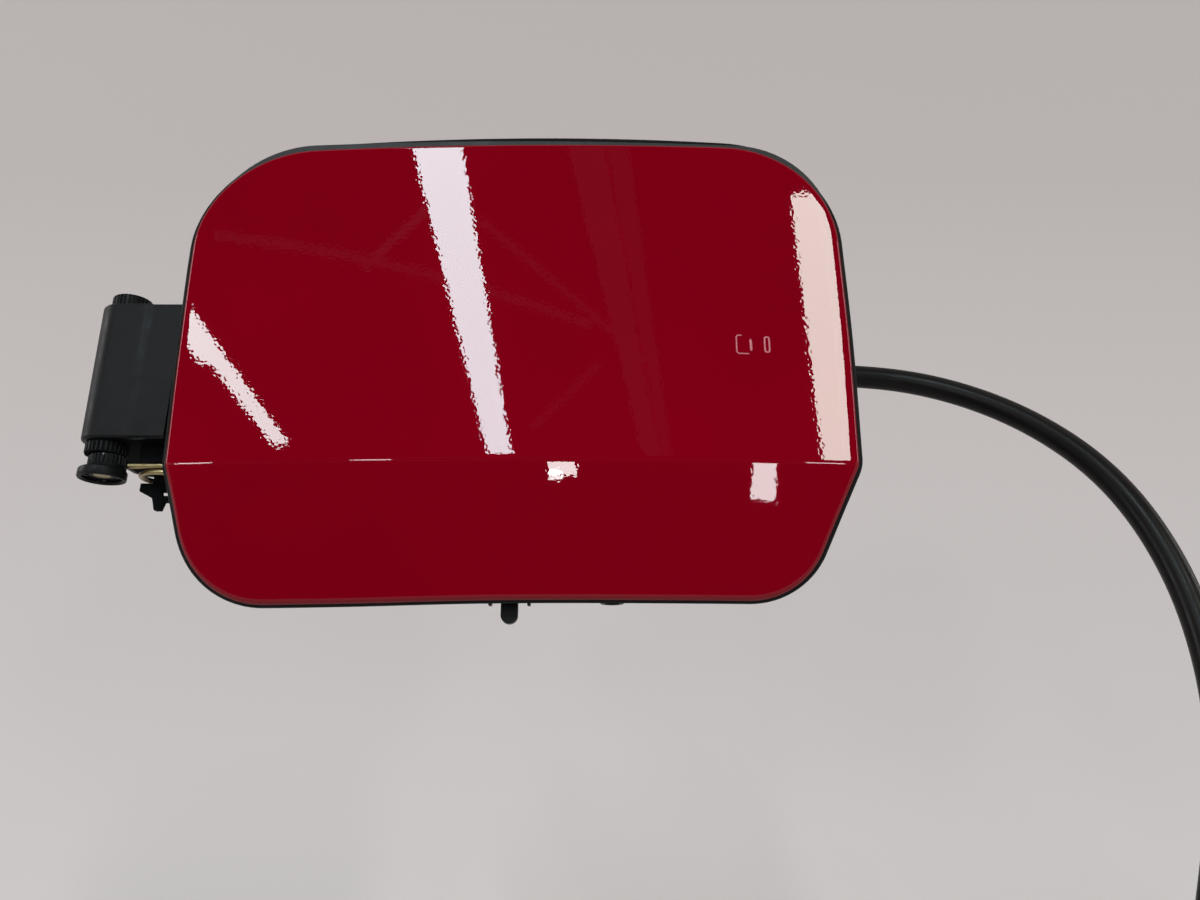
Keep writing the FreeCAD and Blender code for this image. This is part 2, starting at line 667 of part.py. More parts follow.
# Bottom snap tab, neck opening, drain, lock seat and hose spigot
tab_x = ("tab_offset - tab_width / 2", "tab_offset + tab_width / 2")
tab_root = "-flap_bottom + flange_inset"
tab_tip = f"{tab_root} - tab_length + tab_width / 2"
flange_y = ("flange_front", "flange_rear")
tab = block("tab", tab_x, flange_y, (tab_tip, f"{tab_root} + wall"))
tab_end = rod("tab_end", "y", "tab_width / 2", *flange_y, ("tab_offset", tab_tip))
webs = []
for n, side in enumerate(("-1", "1")):
    web_x = f"tab_offset + {side} * web_spacing / 2"
    webs.append(block(f"web_{n}", (f"{web_x} - rib_wall / 4", f"{web_x} + rib_wall / 4"), flange_y,
                      (f"{tab_root} - web_length", f"{tab_root} + wall")))
neck_hole = rod("neck_hole", "y", "neck_radius", "-wall", "0", ("0", "0"))
neck_screw_holes = [
    rod(f"neck_screw_hole_{n}", "y", "neck_screw_hole", "-wall", "0",
        (f"neck_screw_circle * cos({angle})", f"neck_screw_circle * sin({angle})"))
    for n, angle in enumerate((90, 210, 330))
]
drain_y = "-wall - drain_radius - drain_wall * 2"
drain_at = ("drain_offset", drain_y)
drain_end = "bowl_low - wall - drain_length"
drain = rod("drain", "z", "drain_radius + drain_wall", drain_end, "bowl_low - wall / 2", drain_at)
drain_hole = rod("drain_hole", "z", "drain_radius", drain_end, "bowl_low", drain_at)
nose_hole = rod("nose_hole", "x", "lock_pin_radius + nose_wall + screw_play", "wall_x - wall", "wall_x",
                ("lock_y", "striker_height"))
lug_spots = [("lug_y", "lug_low"), ("lug_y", "lug_high")]
boss_x = ("wall_x - wall - lock_boss", "wall_x")
bosses = [rod(f"lock_boss_{n}", "x", "lock_screw_radius * 2.4", *boss_x, spot)
          for n, spot in enumerate(lug_spots)]
boss_holes = [rod(f"lock_boss_hole_{n}", "x", "lock_screw_radius", *boss_x, spot)
              for n, spot in enumerate(lug_spots)]
spigot_at = ("spigot_y", "spigot_height")
spigot = rod("spigot", "x", "hose_bore", "wall_x - wall / 2", "spigot_end", spigot_at)
spigot_hole = rod("spigot_hole", "x", "spigot_bore", "wall_x - wall", "spigot_end", spigot_at)

hinge_corner = [hinge_box, lower_boss, spring_block, spring_post, spring_web, shelf, lip_body]
bowl_fittings = [tab, tab_end, *webs, drain, *bosses, spigot]
moulding_blank = fuse("moulding_blank", flange, bowl, *hinge_corner, *bowl_fittings)
hinge_room = [box_inside, box_opening, box_trim, pin_holes, *slot_ends, slot_middle]
moulding = cut("moulding", moulding_blank, *hinge_room, neck_hole, *neck_screw_holes, drain_hole,
               nose_hole, *boss_holes, spigot_hole)

# The moulding as five simple regions: floor, hinge side, lock side, upper and lower walls
far_left = f"{box_left} - cut_room"
far_right = "spigot_end + cut_room"
far_up = "flap_top + cut_room"
far_down = "-flap_bottom - cut_room"
before_floor = ("face", "-wall")
hinge_split = "bowl_left + cut_room"
lock_split = "tip_x"
floor_region = block("floor_region", (far_left, far_right), ("-wall", "cut_room"), (far_down, far_up))
hinge_region = block("hinge_region", (far_left, hinge_split), before_floor, (far_down, far_up))
lock_region = block("lock_region", (lock_split, far_right), before_floor, (far_down, far_up))
upper_region = block("upper_region", (hinge_split, lock_split), before_floor, ("0", far_up))
lower_region = block("lower_region", (hinge_split, lock_split), before_floor, (far_down, "0"))
bowl_floor = common("bowl_floor", moulding, floor_region)
hinge_housing = common("hinge_housing", moulding, hinge_region)
bowl_lock_side = common("bowl_lock_side", moulding, lock_region)
bowl_upper_wall = common("bowl_upper_wall", moulding, upper_region)
bowl_lower_wall = common("bowl_lower_wall", moulding, lower_region)

# Seals of the bowl
gasket_y = ("flange_front - gasket_thickness", "flange_front")
gasket_outside = outline_prism("gasket_prism", "gasket_inset", *gasket_y)
gasket_inside = outline_prism("gasket_hole", "gasket_inset + gasket_width", *gasket_y)
gasket_ring = cut("gasket_ring", gasket_outside, gasket_inside)
gasket_gap = block("gasket_gap", ("-flap_left", "bowl_left"), ("box_front", "flange_front"),
                   ("block_end - box_wall", "box_high + box_wall"))
flange_seal = cut("flange_seal", gasket_ring, gasket_gap)
neck_sleeve = rod("neck_sleeve", "y", "neck_radius", "-wall - neck_seal_lip", "0", ("0", "0"))
neck_lip = rod("neck_lip", "y", "neck_radius + neck_seal_lip", "-wall - neck_seal_lip", "-wall", ("0", "0"))
neck_seal_hole = rod("neck_seal_hole", "y", "neck_seal_bore", "-wall - neck_seal_lip", "0", ("0", "0"))
neck_seal = cut("neck_seal", fuse("neck_seal_blank", neck_sleeve, neck_lip), neck_seal_hole)

# Torsion spring: a coil round the post, one leg beside the hub's neck and one against the web
coil_line = doc.addObject("Part::Helix", "coil_line")
coil_line.LocalCoord = "Left-handed"
bind(coil_line, "Pitch", "coil_pitch")
bind(coil_line, "Height", "coil_height")
bind(coil_line, "Radius", "spring_radius")
place(coil_line, "spring_x", "spring_y", "coil_start")
wire_circle = doc.addObject("Part::Circle", "wire_circle")
bind(wire_circle, "Radius", "wire / 2")
wire_circle.Placement = FreeCAD.Placement(FreeCAD.Vector(), FreeCAD.Rotation(FreeCAD.Vector(1, 0, 0), 90))
place(wire_circle, "spring_x + spring_radius", "spring_y", "coil_start")
coil = doc.addObject("Part::Sweep", "coil")
coil.Sections = [wire_circle]
coil.Spine = (coil_line, [])
coil.Solid = True
coil.Frenet = True
fixed_leg = rod("fixed_leg", "y", "wire / 2", "spring_y", "spring_y + spring_radius",
                ("spring_x + spring_radius", "coil_start"))
moving_leg = rod("moving_leg", "x", "wire / 2", "axis_x + hub_radius + turn_gap", "spring_x",
                 ("spring_y - spring_radius", "coil_start + coil_height"))
hinge_spring = fuse("hinge_spring", coil, fixed_leg, moving_leg)

# Lock: case, cover, gasket and screws
case_y = ("face + case_front", "face + case_back")
case_z = ("-case_low", "case_high")
lock_at = ("lock_y", "striker_height")
case_outside = block("case_outside", ("case_x", "cover_x"), case_y, case_z)
case_inside = block("case_inside", ("case_x + case_wall", "cover_x"),
                    ("face + case_front + case_wall", "face + case_back - case_wall"),
                    ("-case_low + case_wall", "case_high - case_wall"))
lug_width = ("lug_y - lug_radius", "lug_y + lug_radius")
lug_ends = [("lug_low", "-case_low"), ("case_high", "lug_high")]
case_lugs = [rod(f"case_lug_{n}", "x", "lug_radius", "case_x", "cover_x", spot)
             for n, spot in enumerate(lug_spots)]
case_webs = [block(f"case_web_{n}", ("case_x", "cover_x"), lug_width, ends)
             for n, ends in enumerate(lug_ends)]
lug_holes = [rod(f"lug_hole_{n}", "x", "lock_screw_radius + screw_play", "case_x", "cover_x", spot)
             for n, spot in enumerate(lug_spots)]
nose_x = ("wall_x - nose_length", "case_x + case_wall")
nose = rod("nose", "x", "lock_pin_radius + nose_wall", *nose_x, lock_at)
nose_bore = rod("nose_bore", "x", "lock_pin_radius + lock_pin_play", *nose_x, lock_at)
socket_x = ("pinion_x - motor_radius", "pinion_x + motor_radius")
socket_z = ("motor_low + motor_radius", "motor_low + motor_radius * 2.6")
socket_back = "face + case_back + socket_length"
socket_outside = block("socket_outside", socket_x, ("face + case_back - case_wall", socket_back), socket_z)
socket_room_x = tuple(f"{x} {sign} socket_wall" for x, sign in zip(socket_x, "+-"))
socket_room_z = tuple(f"{z} {sign} socket_wall" for z, sign in zip(socket_z, "+-"))
socket_inside = block("socket_inside", socket_room_x, ("face + case_back", socket_back), socket_room_z)
terminal_z = ("motor_low + motor_radius * 1.5", "motor_low + motor_radius * 2.1")
terminal_x = [(f"pinion_x {sign} motor_radius / 3 - socket_wall / 3",
               f"pinion_x {sign} motor_radius / 3 + socket_wall / 3") for sign in "-+"]
terminal_root = "face + case_back - case_wall"
blade_slots = [block(f"terminal_slot_{n}", ends, (terminal_root, "face + case_back"), terminal_z)
               for n, ends in enumerate(terminal_x)]
case_body = fuse("case_body", case_outside, *case_lugs, *case_webs)
case_shell = cut("case_shell", case_body, case_inside)
case_blank = fuse("case_blank", case_shell, nose, socket_outside)
lock_case = cut("lock_case", case_blank, nose_bore, *lug_holes, socket_inside, *blade_slots)

cover_span = ("cover_x", "cover_face")
cover_plate = block("cover_plate", cover_span, case_y, case_z)
cover_lugs = [rod(f"cover_lug_{n}", "x", "lug_radius", *cover_span, spot)
              for n, spot in enumerate(lug_spots)]
cover_webs = [block(f"cover_web_{n}", cover_span, lug_width, ends) for n, ends in enumerate(lug_ends)]
cover_holes = [rod(f"cover_hole_{n}", "x", "lock_screw_radius + screw_play", *cover_span, spot)
               for n, spot in enumerate(lug_spots)]
lock_cover = cut("lock_cover", fuse("cover_blank", cover_plate, *cover_lugs, *cover_webs), *cover_holes)

gasket_disc = rod("gasket_disc", "x", "lock_pin_radius + nose_wall * 1.6", "wall_x", "case_x", lock_at)
gasket_hole_lock = rod("gasket_hole_lock", "x", "lock_pin_radius + nose_wall", "wall_x", "case_x", lock_at)
lock_gasket = cut("lock_gasket", gasket_disc, gasket_hole_lock)

lock_screw_solids = []
for n, spot in enumerate(lug_spots):
    shank = rod(f"lock_screw_shank_{n}", "x", "lock_screw_radius", "wall_x - wall - lock_boss / 2",
                "cover_face", spot)
    head = rod(f"lock_screw_head_{n}", "x", "lock_screw_head", "cover_face",
               "cover_face + screw_head_height", spot)
    lock_screw_solids.append(fuse(f"lock_screw_{n}", shank, head))
lock_screws = group("lock_screws", *lock_screw_solids)

# Lock drive: motor, pinion and toothed lock pin, drawn with the pin withdrawn
motor_top = "motor_low + motor_length"
pinion_low = "striker_height - lock_pin_radius"
pinion_high = "striker_height + lock_pin_radius"
motor_at = ("pinion_x", "pinion_y")
motor_can = rod("motor_can", "z", "motor_radius", "motor_low", motor_top, motor_at)
motor_shaft = rod("motor_shaft", "z", "shaft_radius", motor_top, pinion_high, motor_at)
lock_motor = fuse("lock_motor", motor_can, motor_shaft)
terminal_tip = "face + case_back + socket_length * 0.8"
terminal_solids = [block(f"terminal_{n}", ends, (terminal_root, terminal_tip), terminal_z)
                   for n, ends in enumerate(terminal_x)]
lock_terminals = group("lock_terminals", *terminal_solids)

tooth_half = "tooth_pitch / 4 - backlash / 2"
tooth_root = "pitch_radius - gear_module * 1.5"
pinion_tooth = [
    (f"-({tooth_half} + gear_module * 0.38)", f"-({tooth_root})"),
    (f"-({tooth_half})", "-pitch_radius"),
    (f"-({tooth_half} - gear_module * 0.33)", "-(pitch_radius + gear_module)"),
    (f"{tooth_half} - gear_module * 0.33", "-(pitch_radius + gear_module)"),
    (tooth_half, "-pitch_radius"),
    (f"{tooth_half} + gear_module * 0.38", f"-({tooth_root})"),
]
pinion_blank = toothed_round("pinion_blank", "pitch_radius - gear_module * 1.25", pinion_low, pinion_high,
                             pinion_tooth, "gear_teeth", motor_at)
pinion_bore = rod("pinion_bore", "z", "shaft_radius + pin_play", pinion_low, pinion_high, motor_at)
lock_pinion = cut("lock_pinion", pinion_blank, pinion_bore)

rack_line = "lock_y + lock_pin_radius - gear_module"
space_half = "tooth_pitch / 4 + backlash / 2"
flank = "gear_module * tan(pressure_angle)"
rack_spaces = []
for n in range(5):
    middle = f"pinion_x + {n - 1} * tooth_pitch"
    rack_spaces.append(upright_prism(f"rack_space_{n}", pinion_low, pinion_high, [
        (f"{middle} - ({space_half}) - {flank} * 1.5", f"{rack_line} + gear_module * 1.5"),
        (f"{middle} - ({space_half}) + {flank} * 1.25", f"{rack_line} - gear_module * 1.25"),
        (f"{middle} + {space_half} - {flank} * 1.25", f"{rack_line} - gear_module * 1.25"),
        (f"{middle} + {space_half} + {flank} * 1.5", f"{rack_line} + gear_module * 1.5"),
    ], []))
pin_rod = rod("pin_rod", "x", "lock_pin_radius", "tip_x", "pin_end", lock_at)
lock_pin = cut("lock_pin", pin_rod, *rack_spaces)

# Vent hose and its clamp
clamp_x = ("wall_x + clamp_width", "wall_x + clamp_width * 2")
clamp_band = rod("clamp_band", "x", "hose_radius + clamp_wall", *clamp_x, spigot_at)
clamp_ears = [
    block(f"clamp_ear_{n}", clamp_x, (f"spigot_y + {side} * clamp_wall * 2 - clamp_wall / 2",
                                      f"spigot_y + {side} * clamp_wall * 2 + clamp_wall / 2"),
          ("spigot_height", "spigot_height + hose_radius + clamp_wall * 4"))
    for n, side in enumerate(("-1", "1"))
]
clamp_hole = rod("clamp_hole", "x", "hose_radius", *clamp_x, spigot_at)
hose_clamp = cut("hose_clamp", fuse("clamp_blank", clamp_band, *clamp_ears), clamp_hole)


def rounded_route(points):
    """Straight runs joined by tangent arcs, each arc as large as its two runs allow."""
    points = [FreeCAD.Vector(*p) for p in points]
    edges, radii = [], []
    last = points[0]
    for before, here, after in zip(points, points[1:], points[2:]):
        back, ahead = before - here, after - here
        half_turn = (math.pi - back.getAngle(ahead)) / 2
        trim = 0.45 * min(back.Length, ahead.Length)
        radius = trim / math.tan(half_turn)
        back.normalize()
        ahead.normalize()
        start, end = here + back * trim, here + ahead * trim
        bisector = (back + ahead).normalize()
        middle = here + bisector * (radius / math.cos(half_turn) - radius)
        edges += [Part.LineSegment(last, start).toShape(), Part.Arc(start, middle, end).toShape()]
        radii.append(radius)
        last = end
    edges.append(Part.LineSegment(last, points[-1]).toShape())
    return Part.Wire(edges), radii


def tube(route, points, radius):
    heading = FreeCAD.Vector(*points[1]) - FreeCAD.Vector(*points[0])
    ring = Part.Wire(Part.makeCircle(radius, FreeCAD.Vector(*points[0]), heading))
    return route.makePipeShell([ring], True, False)


hose_route, hose_radii = rounded_route(HOSE_ROUTE)
hose_radius = sheet.get("hose_radius")
hose_bore = sheet.get("hose_bore")
vent_hose = doc.addObject("Part::Feature", "vent_hose")
vent_hose.Shape = tube(hose_route, HOSE_ROUTE, hose_radius).cut(tube(hose_route, HOSE_ROUTE, hose_bore))
hose_section = math.pi * (hose_radius ** 2 - hose_bore ** 2)
print("hose length", round(hose_route.Length, 1), "radii", [round(r) for r in hose_radii])
hose_ratio = vent_hose.Shape.Volume / (hose_section * hose_route.Length)
print("hose volume over section times length", round(hose_ratio, 4))

NODES = [
    outer_panel, inner_panel, edge_seal, hinge_arm, arm_screws, hinge_pin, upper_pin_cap, lower_pin_hub,
    latch_striker, bump_stops, bowl_floor, hinge_housing, bowl_lock_side, bowl_upper_wall, bowl_lower_wall,
    flange_seal, neck_seal, hinge_spring, lock_case, lock_cover, lock_gasket, lock_screws, lock_motor,
    lock_terminals, lock_pinion, lock_pin, hose_clamp, vent_hose,
]

doc.recompute()
failed = [item.Name for item in doc.Objects if {"Invalid", "Error"} & set(item.State)]
if failed:
    raise RuntimeError(f"failed objects: {failed}")
for node in NODES:
    if node.Shape.isNull() or not node.Shape.isValid():
        raise RuntimeError(f"{node.Label} has no valid shape")

os.makedirs("parts", exist_ok=True)
for node in NODES:
    node.Shape.exportStep(f"parts/{node.Label}.step")
    print(f"{node.Label}: {len(node.Shape.Solids)} solids, {node.Shape.Volume:.1f} mm3")
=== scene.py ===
"""Looks for a car's fuel filler flap with its hinge, bowl, lock and vent hose, in the CAD model's own frame.

Lengths in the object's own classes are millimetres, as in the part's drawing, and so are the points that
panel lamps are aimed at. The hose's route and length, the rest of the studio and the meshes are in metres.
"""
import logging
import math
from dataclasses import dataclass, field
from enum import Enum
from typing import Any, Callable, Optional

import bmesh
import bpy
import numpy as np
from bpy.types import Material, Node, NodeSocket, NodeTree, Object
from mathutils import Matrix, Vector


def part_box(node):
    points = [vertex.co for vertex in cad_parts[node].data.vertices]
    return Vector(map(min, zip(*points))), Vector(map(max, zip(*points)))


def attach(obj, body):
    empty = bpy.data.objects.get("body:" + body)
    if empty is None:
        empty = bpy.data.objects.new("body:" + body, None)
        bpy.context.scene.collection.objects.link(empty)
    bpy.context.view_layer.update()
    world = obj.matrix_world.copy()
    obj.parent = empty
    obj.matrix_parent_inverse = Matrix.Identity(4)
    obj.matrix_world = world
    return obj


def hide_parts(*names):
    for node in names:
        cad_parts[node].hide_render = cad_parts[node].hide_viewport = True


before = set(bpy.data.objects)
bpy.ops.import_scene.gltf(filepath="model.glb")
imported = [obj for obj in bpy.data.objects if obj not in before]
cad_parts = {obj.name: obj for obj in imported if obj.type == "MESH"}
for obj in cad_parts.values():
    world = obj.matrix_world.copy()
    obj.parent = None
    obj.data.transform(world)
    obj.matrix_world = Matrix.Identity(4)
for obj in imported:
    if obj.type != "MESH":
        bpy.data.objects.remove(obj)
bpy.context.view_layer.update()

LOG = logging.getLogger("filler_flap")
MM = 0.001
MERGE_DISTANCE = 0.002 * MM
SLIVER = 0.001 * MM
QUARTER = 0.5 * math.pi
TAU = 2.0 * math.pi
Array = np.ndarray


def linear(hex_colour: str) -> tuple[float, float, float, float]:
    """Turn an sRGB hex colour into linear light, as a shader socket takes it, with full alpha.

    Args:
        hex_colour: the colour, as a hash sign and six hex digits.

    Returns:
        Red, green, blue and alpha.
    """
    channels = np.array([int(hex_colour[i:i + 2], 16) for i in (1, 3, 5)]) / 255.0
    light = np.where(channels <= 0.04045, channels / 12.92, ((channels + 0.055) / 1.055) ** 2.4)
    return (*light.tolist(), 1.0)


def add(tree: NodeTree, kind: str, links: Optional[dict[Any, Any]] = None,
        **settings: Any) -> Node:
    """Add one node with its settings and links.

    Args:
        tree: the node tree that takes the node.
        kind: the node's type name.
        links: input socket name or number, to a value or to another node's output socket.
        settings: the node's own properties.

    Returns:
        The new node.
    """
    node = tree.nodes.new(kind)
    for key, value in settings.items():
        setattr(node, key, value)
    for socket, value in (links or {}).items():
        if isinstance(value, NodeSocket):
            tree.links.new(value, node.inputs[socket])
        else:
            node.inputs[socket].default_value = value
    return node


def placed(name: str, data: Any) -> Object:
    """Make an object with the data given and put it in the scene.

    Args:
        name: the object's name.
        data: its mesh, curve, lamp or camera.

    Returns:
        The object.
    """
    made = bpy.data.objects.new(name, data)
    bpy.context.scene.collection.objects.link(made)
    return made


def blank_material(name: str) -> tuple[Material, NodeTree]:
    """Make a material with an empty node tree.

    Args:
        name: the material's name.

    Returns:
        The material and its node tree.
    """
    made = bpy.data.materials.new(name)
    made.use_nodes = True
    made.node_tree.nodes.clear()
    return made, made.node_tree


def see_through(tree: NodeTree, share: NodeSocket, colour: Any) -> None:
    """Finish a material as matt paint where the share is one, and clear where it is nought.

    Args:
        tree: the material's node tree.
        share: the share of paint.
        colour: the paint's colour, or the socket that gives it.
    """
    clear = add(tree, "ShaderNodeBsdfTransparent").outputs[0]
    matt = add(tree, "ShaderNodeBsdfDiffuse", {"Color": colour}).outputs[0]
    mixed = add(tree, "ShaderNodeMixShader", {0: share, 1: clear, 2: matt})
    add(tree, "ShaderNodeOutputMaterial", {"Surface": mixed.outputs[0]})


class Pattern(Enum):
    """Kinds of pattern that a finish can have."""

    GRAIN = "ShaderNodeTexNoise"
    CELLS = "ShaderNodeTexVoronoi"


@dataclass(frozen=True)
class Relief:
    """One layer of relief: the size and height of its features in millimetres, their stretch and detail."""

    size: float
    height: float
    stretch: tuple[float, float, float] = (1.0, 1.0, 1.0)
    detail: float = 2.0

    def value(self, tree: NodeTree, spot: NodeSocket) -> NodeSocket:
        """Add the relief's texture.

        Args:
            tree: the material's node tree.
            spot: the coordinates, in metres.

        Returns:
            The texture's value socket.
        """
        place = add(tree, "ShaderNodeMapping", {"Vector": spot, "Scale": self.stretch})
        links = {"Vector": place.outputs[0], "Scale": 1.0 / (self.size * MM), "Detail": self.detail}
        return add(tree, Pattern.GRAIN.value, links).outputs[0]


@dataclass(frozen=True)
class Finish:
    """A surface finish: two close tones in large soft patches, uneven gloss and layers of fine relief."""

    name: str
    tone: str
    second_tone: str
    patch: float
    roughness: tuple[float, float]
    relief: tuple[Relief, ...]
    patch_detail: float = 3.0
    gloss_detail: float = 4.0
    gloss_fineness: float = 3.0
    gloss_span: tuple[float, float] = (0.3, 0.7)
    metallic: float = 0.0
    coat: float = 0.0
    coat_roughness: float = 0.03
    specular: float = 0.5
    fleck: Optional[str] = None
    fleck_size: float = 1.0
    fleck_share: float = 0.03
    fleck_reach: float = 0.16

    def colour(self, tree: NodeTree, spot: NodeSocket) -> NodeSocket:
        """Mix the two tones by soft patches, with flecks on top where the finish has them.

        Args:
            tree: the material's node tree.
            spot: the coordinates, in metres.

        Returns:
            The colour socket.
        """
        links = {"Vector": spot, "Scale": 1.0 / (self.patch * MM), "Detail": self.patch_detail}
        patches = add(tree, Pattern.GRAIN.value, links)
        tones = {0: patches.outputs[0], 6: linear(self.tone), 7: linear(self.second_tone)}
        mixed = add(tree, "ShaderNodeMix", tones, data_type="RGBA")
        if self.fleck is None:
            return mixed.outputs[2]
        cells = add(tree, Pattern.CELLS.value, {"Vector": spot, "Scale": 1.0 / (self.fleck_size * MM)})
        split = add(tree, "ShaderNodeSeparateColor", {0: cells.outputs["Color"]})
        limits = ((cells.outputs["Distance"], self.fleck_reach), (split.outputs[0], self.fleck_share))
        near, chosen = [add(tree, "ShaderNodeMath", {0: value, 1: limit}, operation="LESS_THAN").outputs[0]
                        for value, limit in limits]
        share = add(tree, "ShaderNodeMath", {0: near, 1: chosen}, operation="MULTIPLY")
        tones = {0: share.outputs[0], 6: mixed.outputs[2], 7: linear(self.fleck)}
        return add(tree, "ShaderNodeMix", tones, data_type="RGBA").outputs[2]

    def bump(self, tree: NodeTree, spot: NodeSocket) -> Optional[NodeSocket]:
        """Stack the layers of relief into one normal.

        Args:
            tree: the material's node tree.
            spot: the coordinates, in metres.

        Returns:
            The normal socket, or nothing for a finish with no relief.
        """
        normal = None
        for layer in self.relief:
            links = {"Height": layer.value(tree, spot), "Distance": layer.height * MM}
            if normal is not None:
                links["Normal"] = normal
            normal = add(tree, "ShaderNodeBump", links).outputs[0]
        return normal

    def material(self) -> Material:
        """Build the material, once for each finish.

        Returns:
            The material with this finish's name.
        """
        found = bpy.data.materials.get(self.name)
        if found is not None:
            return found
        made, tree = blank_material(self.name)
        spot = add(tree, "ShaderNodeTexCoord").outputs["Object"]
        scale = self.gloss_fineness / (self.patch * MM)
        gloss = add(tree, Pattern.GRAIN.value, {"Vector": spot, "Scale": scale, "Detail": self.gloss_detail})
        ends = dict(enumerate(self.gloss_span + self.roughness, start=1))
        spread = add(tree, "ShaderNodeMapRange", {0: gloss.outputs[0], **ends})
        shader = add(tree, "ShaderNodeBsdfPrincipled", {
            "Base Color": self.colour(tree, spot),
            "Roughness": spread.outputs[0],
            "Metallic": self.metallic,
            "Specular IOR Level": self.specular,
            "Coat Weight": self.coat,
            "Coat Roughness": self.coat_roughness,
        })
        normal = self.bump(tree, spot)
        if normal is not None:
            tree.links.new(normal, shader.inputs["Normal"])
            if self.coat > 0.0:
                tree.links.new(normal, shader.inputs["Coat Normal"])
        add(tree, "ShaderNodeOutputMaterial", {"Surface": shader.outputs[0]})
        return made


# Crimson body paint under a clear coat on pressed steel: deep colour, mirror gloss and faint orange peel
CRIMSON_PAINT = Finish(
    "crimson_clear_coat_paint", "#800014", "#740012", 60.0, (0.32, 0.42),
    (Relief(2.6, 0.0022, detail=0.0), Relief(1.0, 0.0042, detail=0.0)),
    coat=0.5, coat_roughness=0.015, specular=0.0,
)
# The red paint on the latch foot's ridges, made paler and duller: a painted highlight, so that the lines look
# lit
RIDGE_HIGHLIGHT_PAINT = Finish(
    "crimson_paint_painted_highlight", "#a8505c", "#bd7079", 8.0, (0.3, 0.4),
    (Relief(0.8, 0.004),), specular=0.4,
)
# Spark-eroded moulded polyamide: satin black with fine grain and pale dust in it
MOULDED_BLACK = Finish(
    "moulded_black_polyamide", "#0c0d0e", "#141517", 14.0, (0.36, 0.5),
    (Relief(0.45, 0.012),), specular=0.13, fleck="#77787c", fleck_size=2.4, fleck_share=0.02,
)
# The same polyamide from a coarser mould face, inside and under the hinge box: matt, and a touch darker with
# its reflection nearly turned off, as painted shade where the box lies in shadow
SHADED_MATT_BLACK = Finish(
    "coarse_matt_polyamide_painted_shade", "#0a0b0c", "#111213", 14.0, (0.78, 0.9),
    (Relief(0.6, 0.02),), specular=0.03, fleck="#5f6064", fleck_size=2.4, fleck_share=0.015,
)
# Pressed and dip-coated steel: even black with soft gloss and slight orange peel
COATED_STEEL = Finish(
    "black_dip_coated_steel", "#121314", "#1a1b1d", 25.0, (0.3, 0.4),
    (Relief(2.0, 0.006),), specular=0.25,
)
# Moulded polypropylene carrier: greyer and duller than the hinge
CARRIER_BLACK = Finish(
    "moulded_black_polypropylene", "#191a1b", "#212223", 20.0, (0.46, 0.6),
    (Relief(0.6, 0.015),), specular=0.35, fleck="#6d6e70", fleck_size=3.0, fleck_share=0.012,
)
# Glass filled lock case: coarse matt grain
LOCK_BLACK = Finish(
    "glass_filled_black_polyamide", "#1e2022", "#282a2c", 9.0, (0.48, 0.62),
    (Relief(0.35, 0.02),),
)
# Extruded seal rubber: matt, with fine bloom
SEAL_RUBBER = Finish(
    "extruded_seal_rubber", "#090909", "#101010", 10.0, (0.55, 0.72),
    (Relief(0.5, 0.012),), specular=0.12,
)
# Smooth extruded hose rubber: satin with faint bloom
HOSE_RUBBER = Finish(
    "smooth_hose_rubber", "#0d0b0a", "#131110", 22.0, (0.3, 0.42),
    (Relief(0.8, 0.004),), specular=0.14,
)
# Yellow passivated zinc on spring wire: uneven gold with drawn gloss
YELLOW_ZINC = Finish(
    "yellow_passivated_zinc", "#83734c", "#a89c78", 3.0, (0.28, 0.42),
    (Relief(0.4, 0.006),), metallic=1.0,
)
# Bright zinc on screws and clamp
BRIGHT_ZINC = Finish(
    "bright_zinc_plated_steel", "#a9adb2", "#c4c7ca", 4.0, (0.28, 0.42),
    (Relief(0.3, 0.006),), metallic=1.0,
)
# Drawn steel motor can: fine rings from the drawing die
DRAWN_STEEL = Finish(
    "drawn_steel_can", "#b4b6b8", "#cccdce", 6.0, (0.2, 0.34),
    (Relief(0.5, 0.008, (1.0, 1.0, 0.05)),), metallic=1.0,
)


def unit(vectors: Array) -> Array:
    """Scale vectors to length one."""
    return vectors / np.linalg.norm(vectors, axis=-1, keepdims=True)


def joined(*coordinates: Array) -> Array:
    """Put arrays of coordinates side by side as points."""
    return np.stack(coordinates, axis=-1)


def squarer(wave: Array, power: float) -> Array:
    """Make a sine or cosine squarer: its size raised to a power below one, its sign kept."""
    return np.sign(wave) * np.abs(wave) ** power


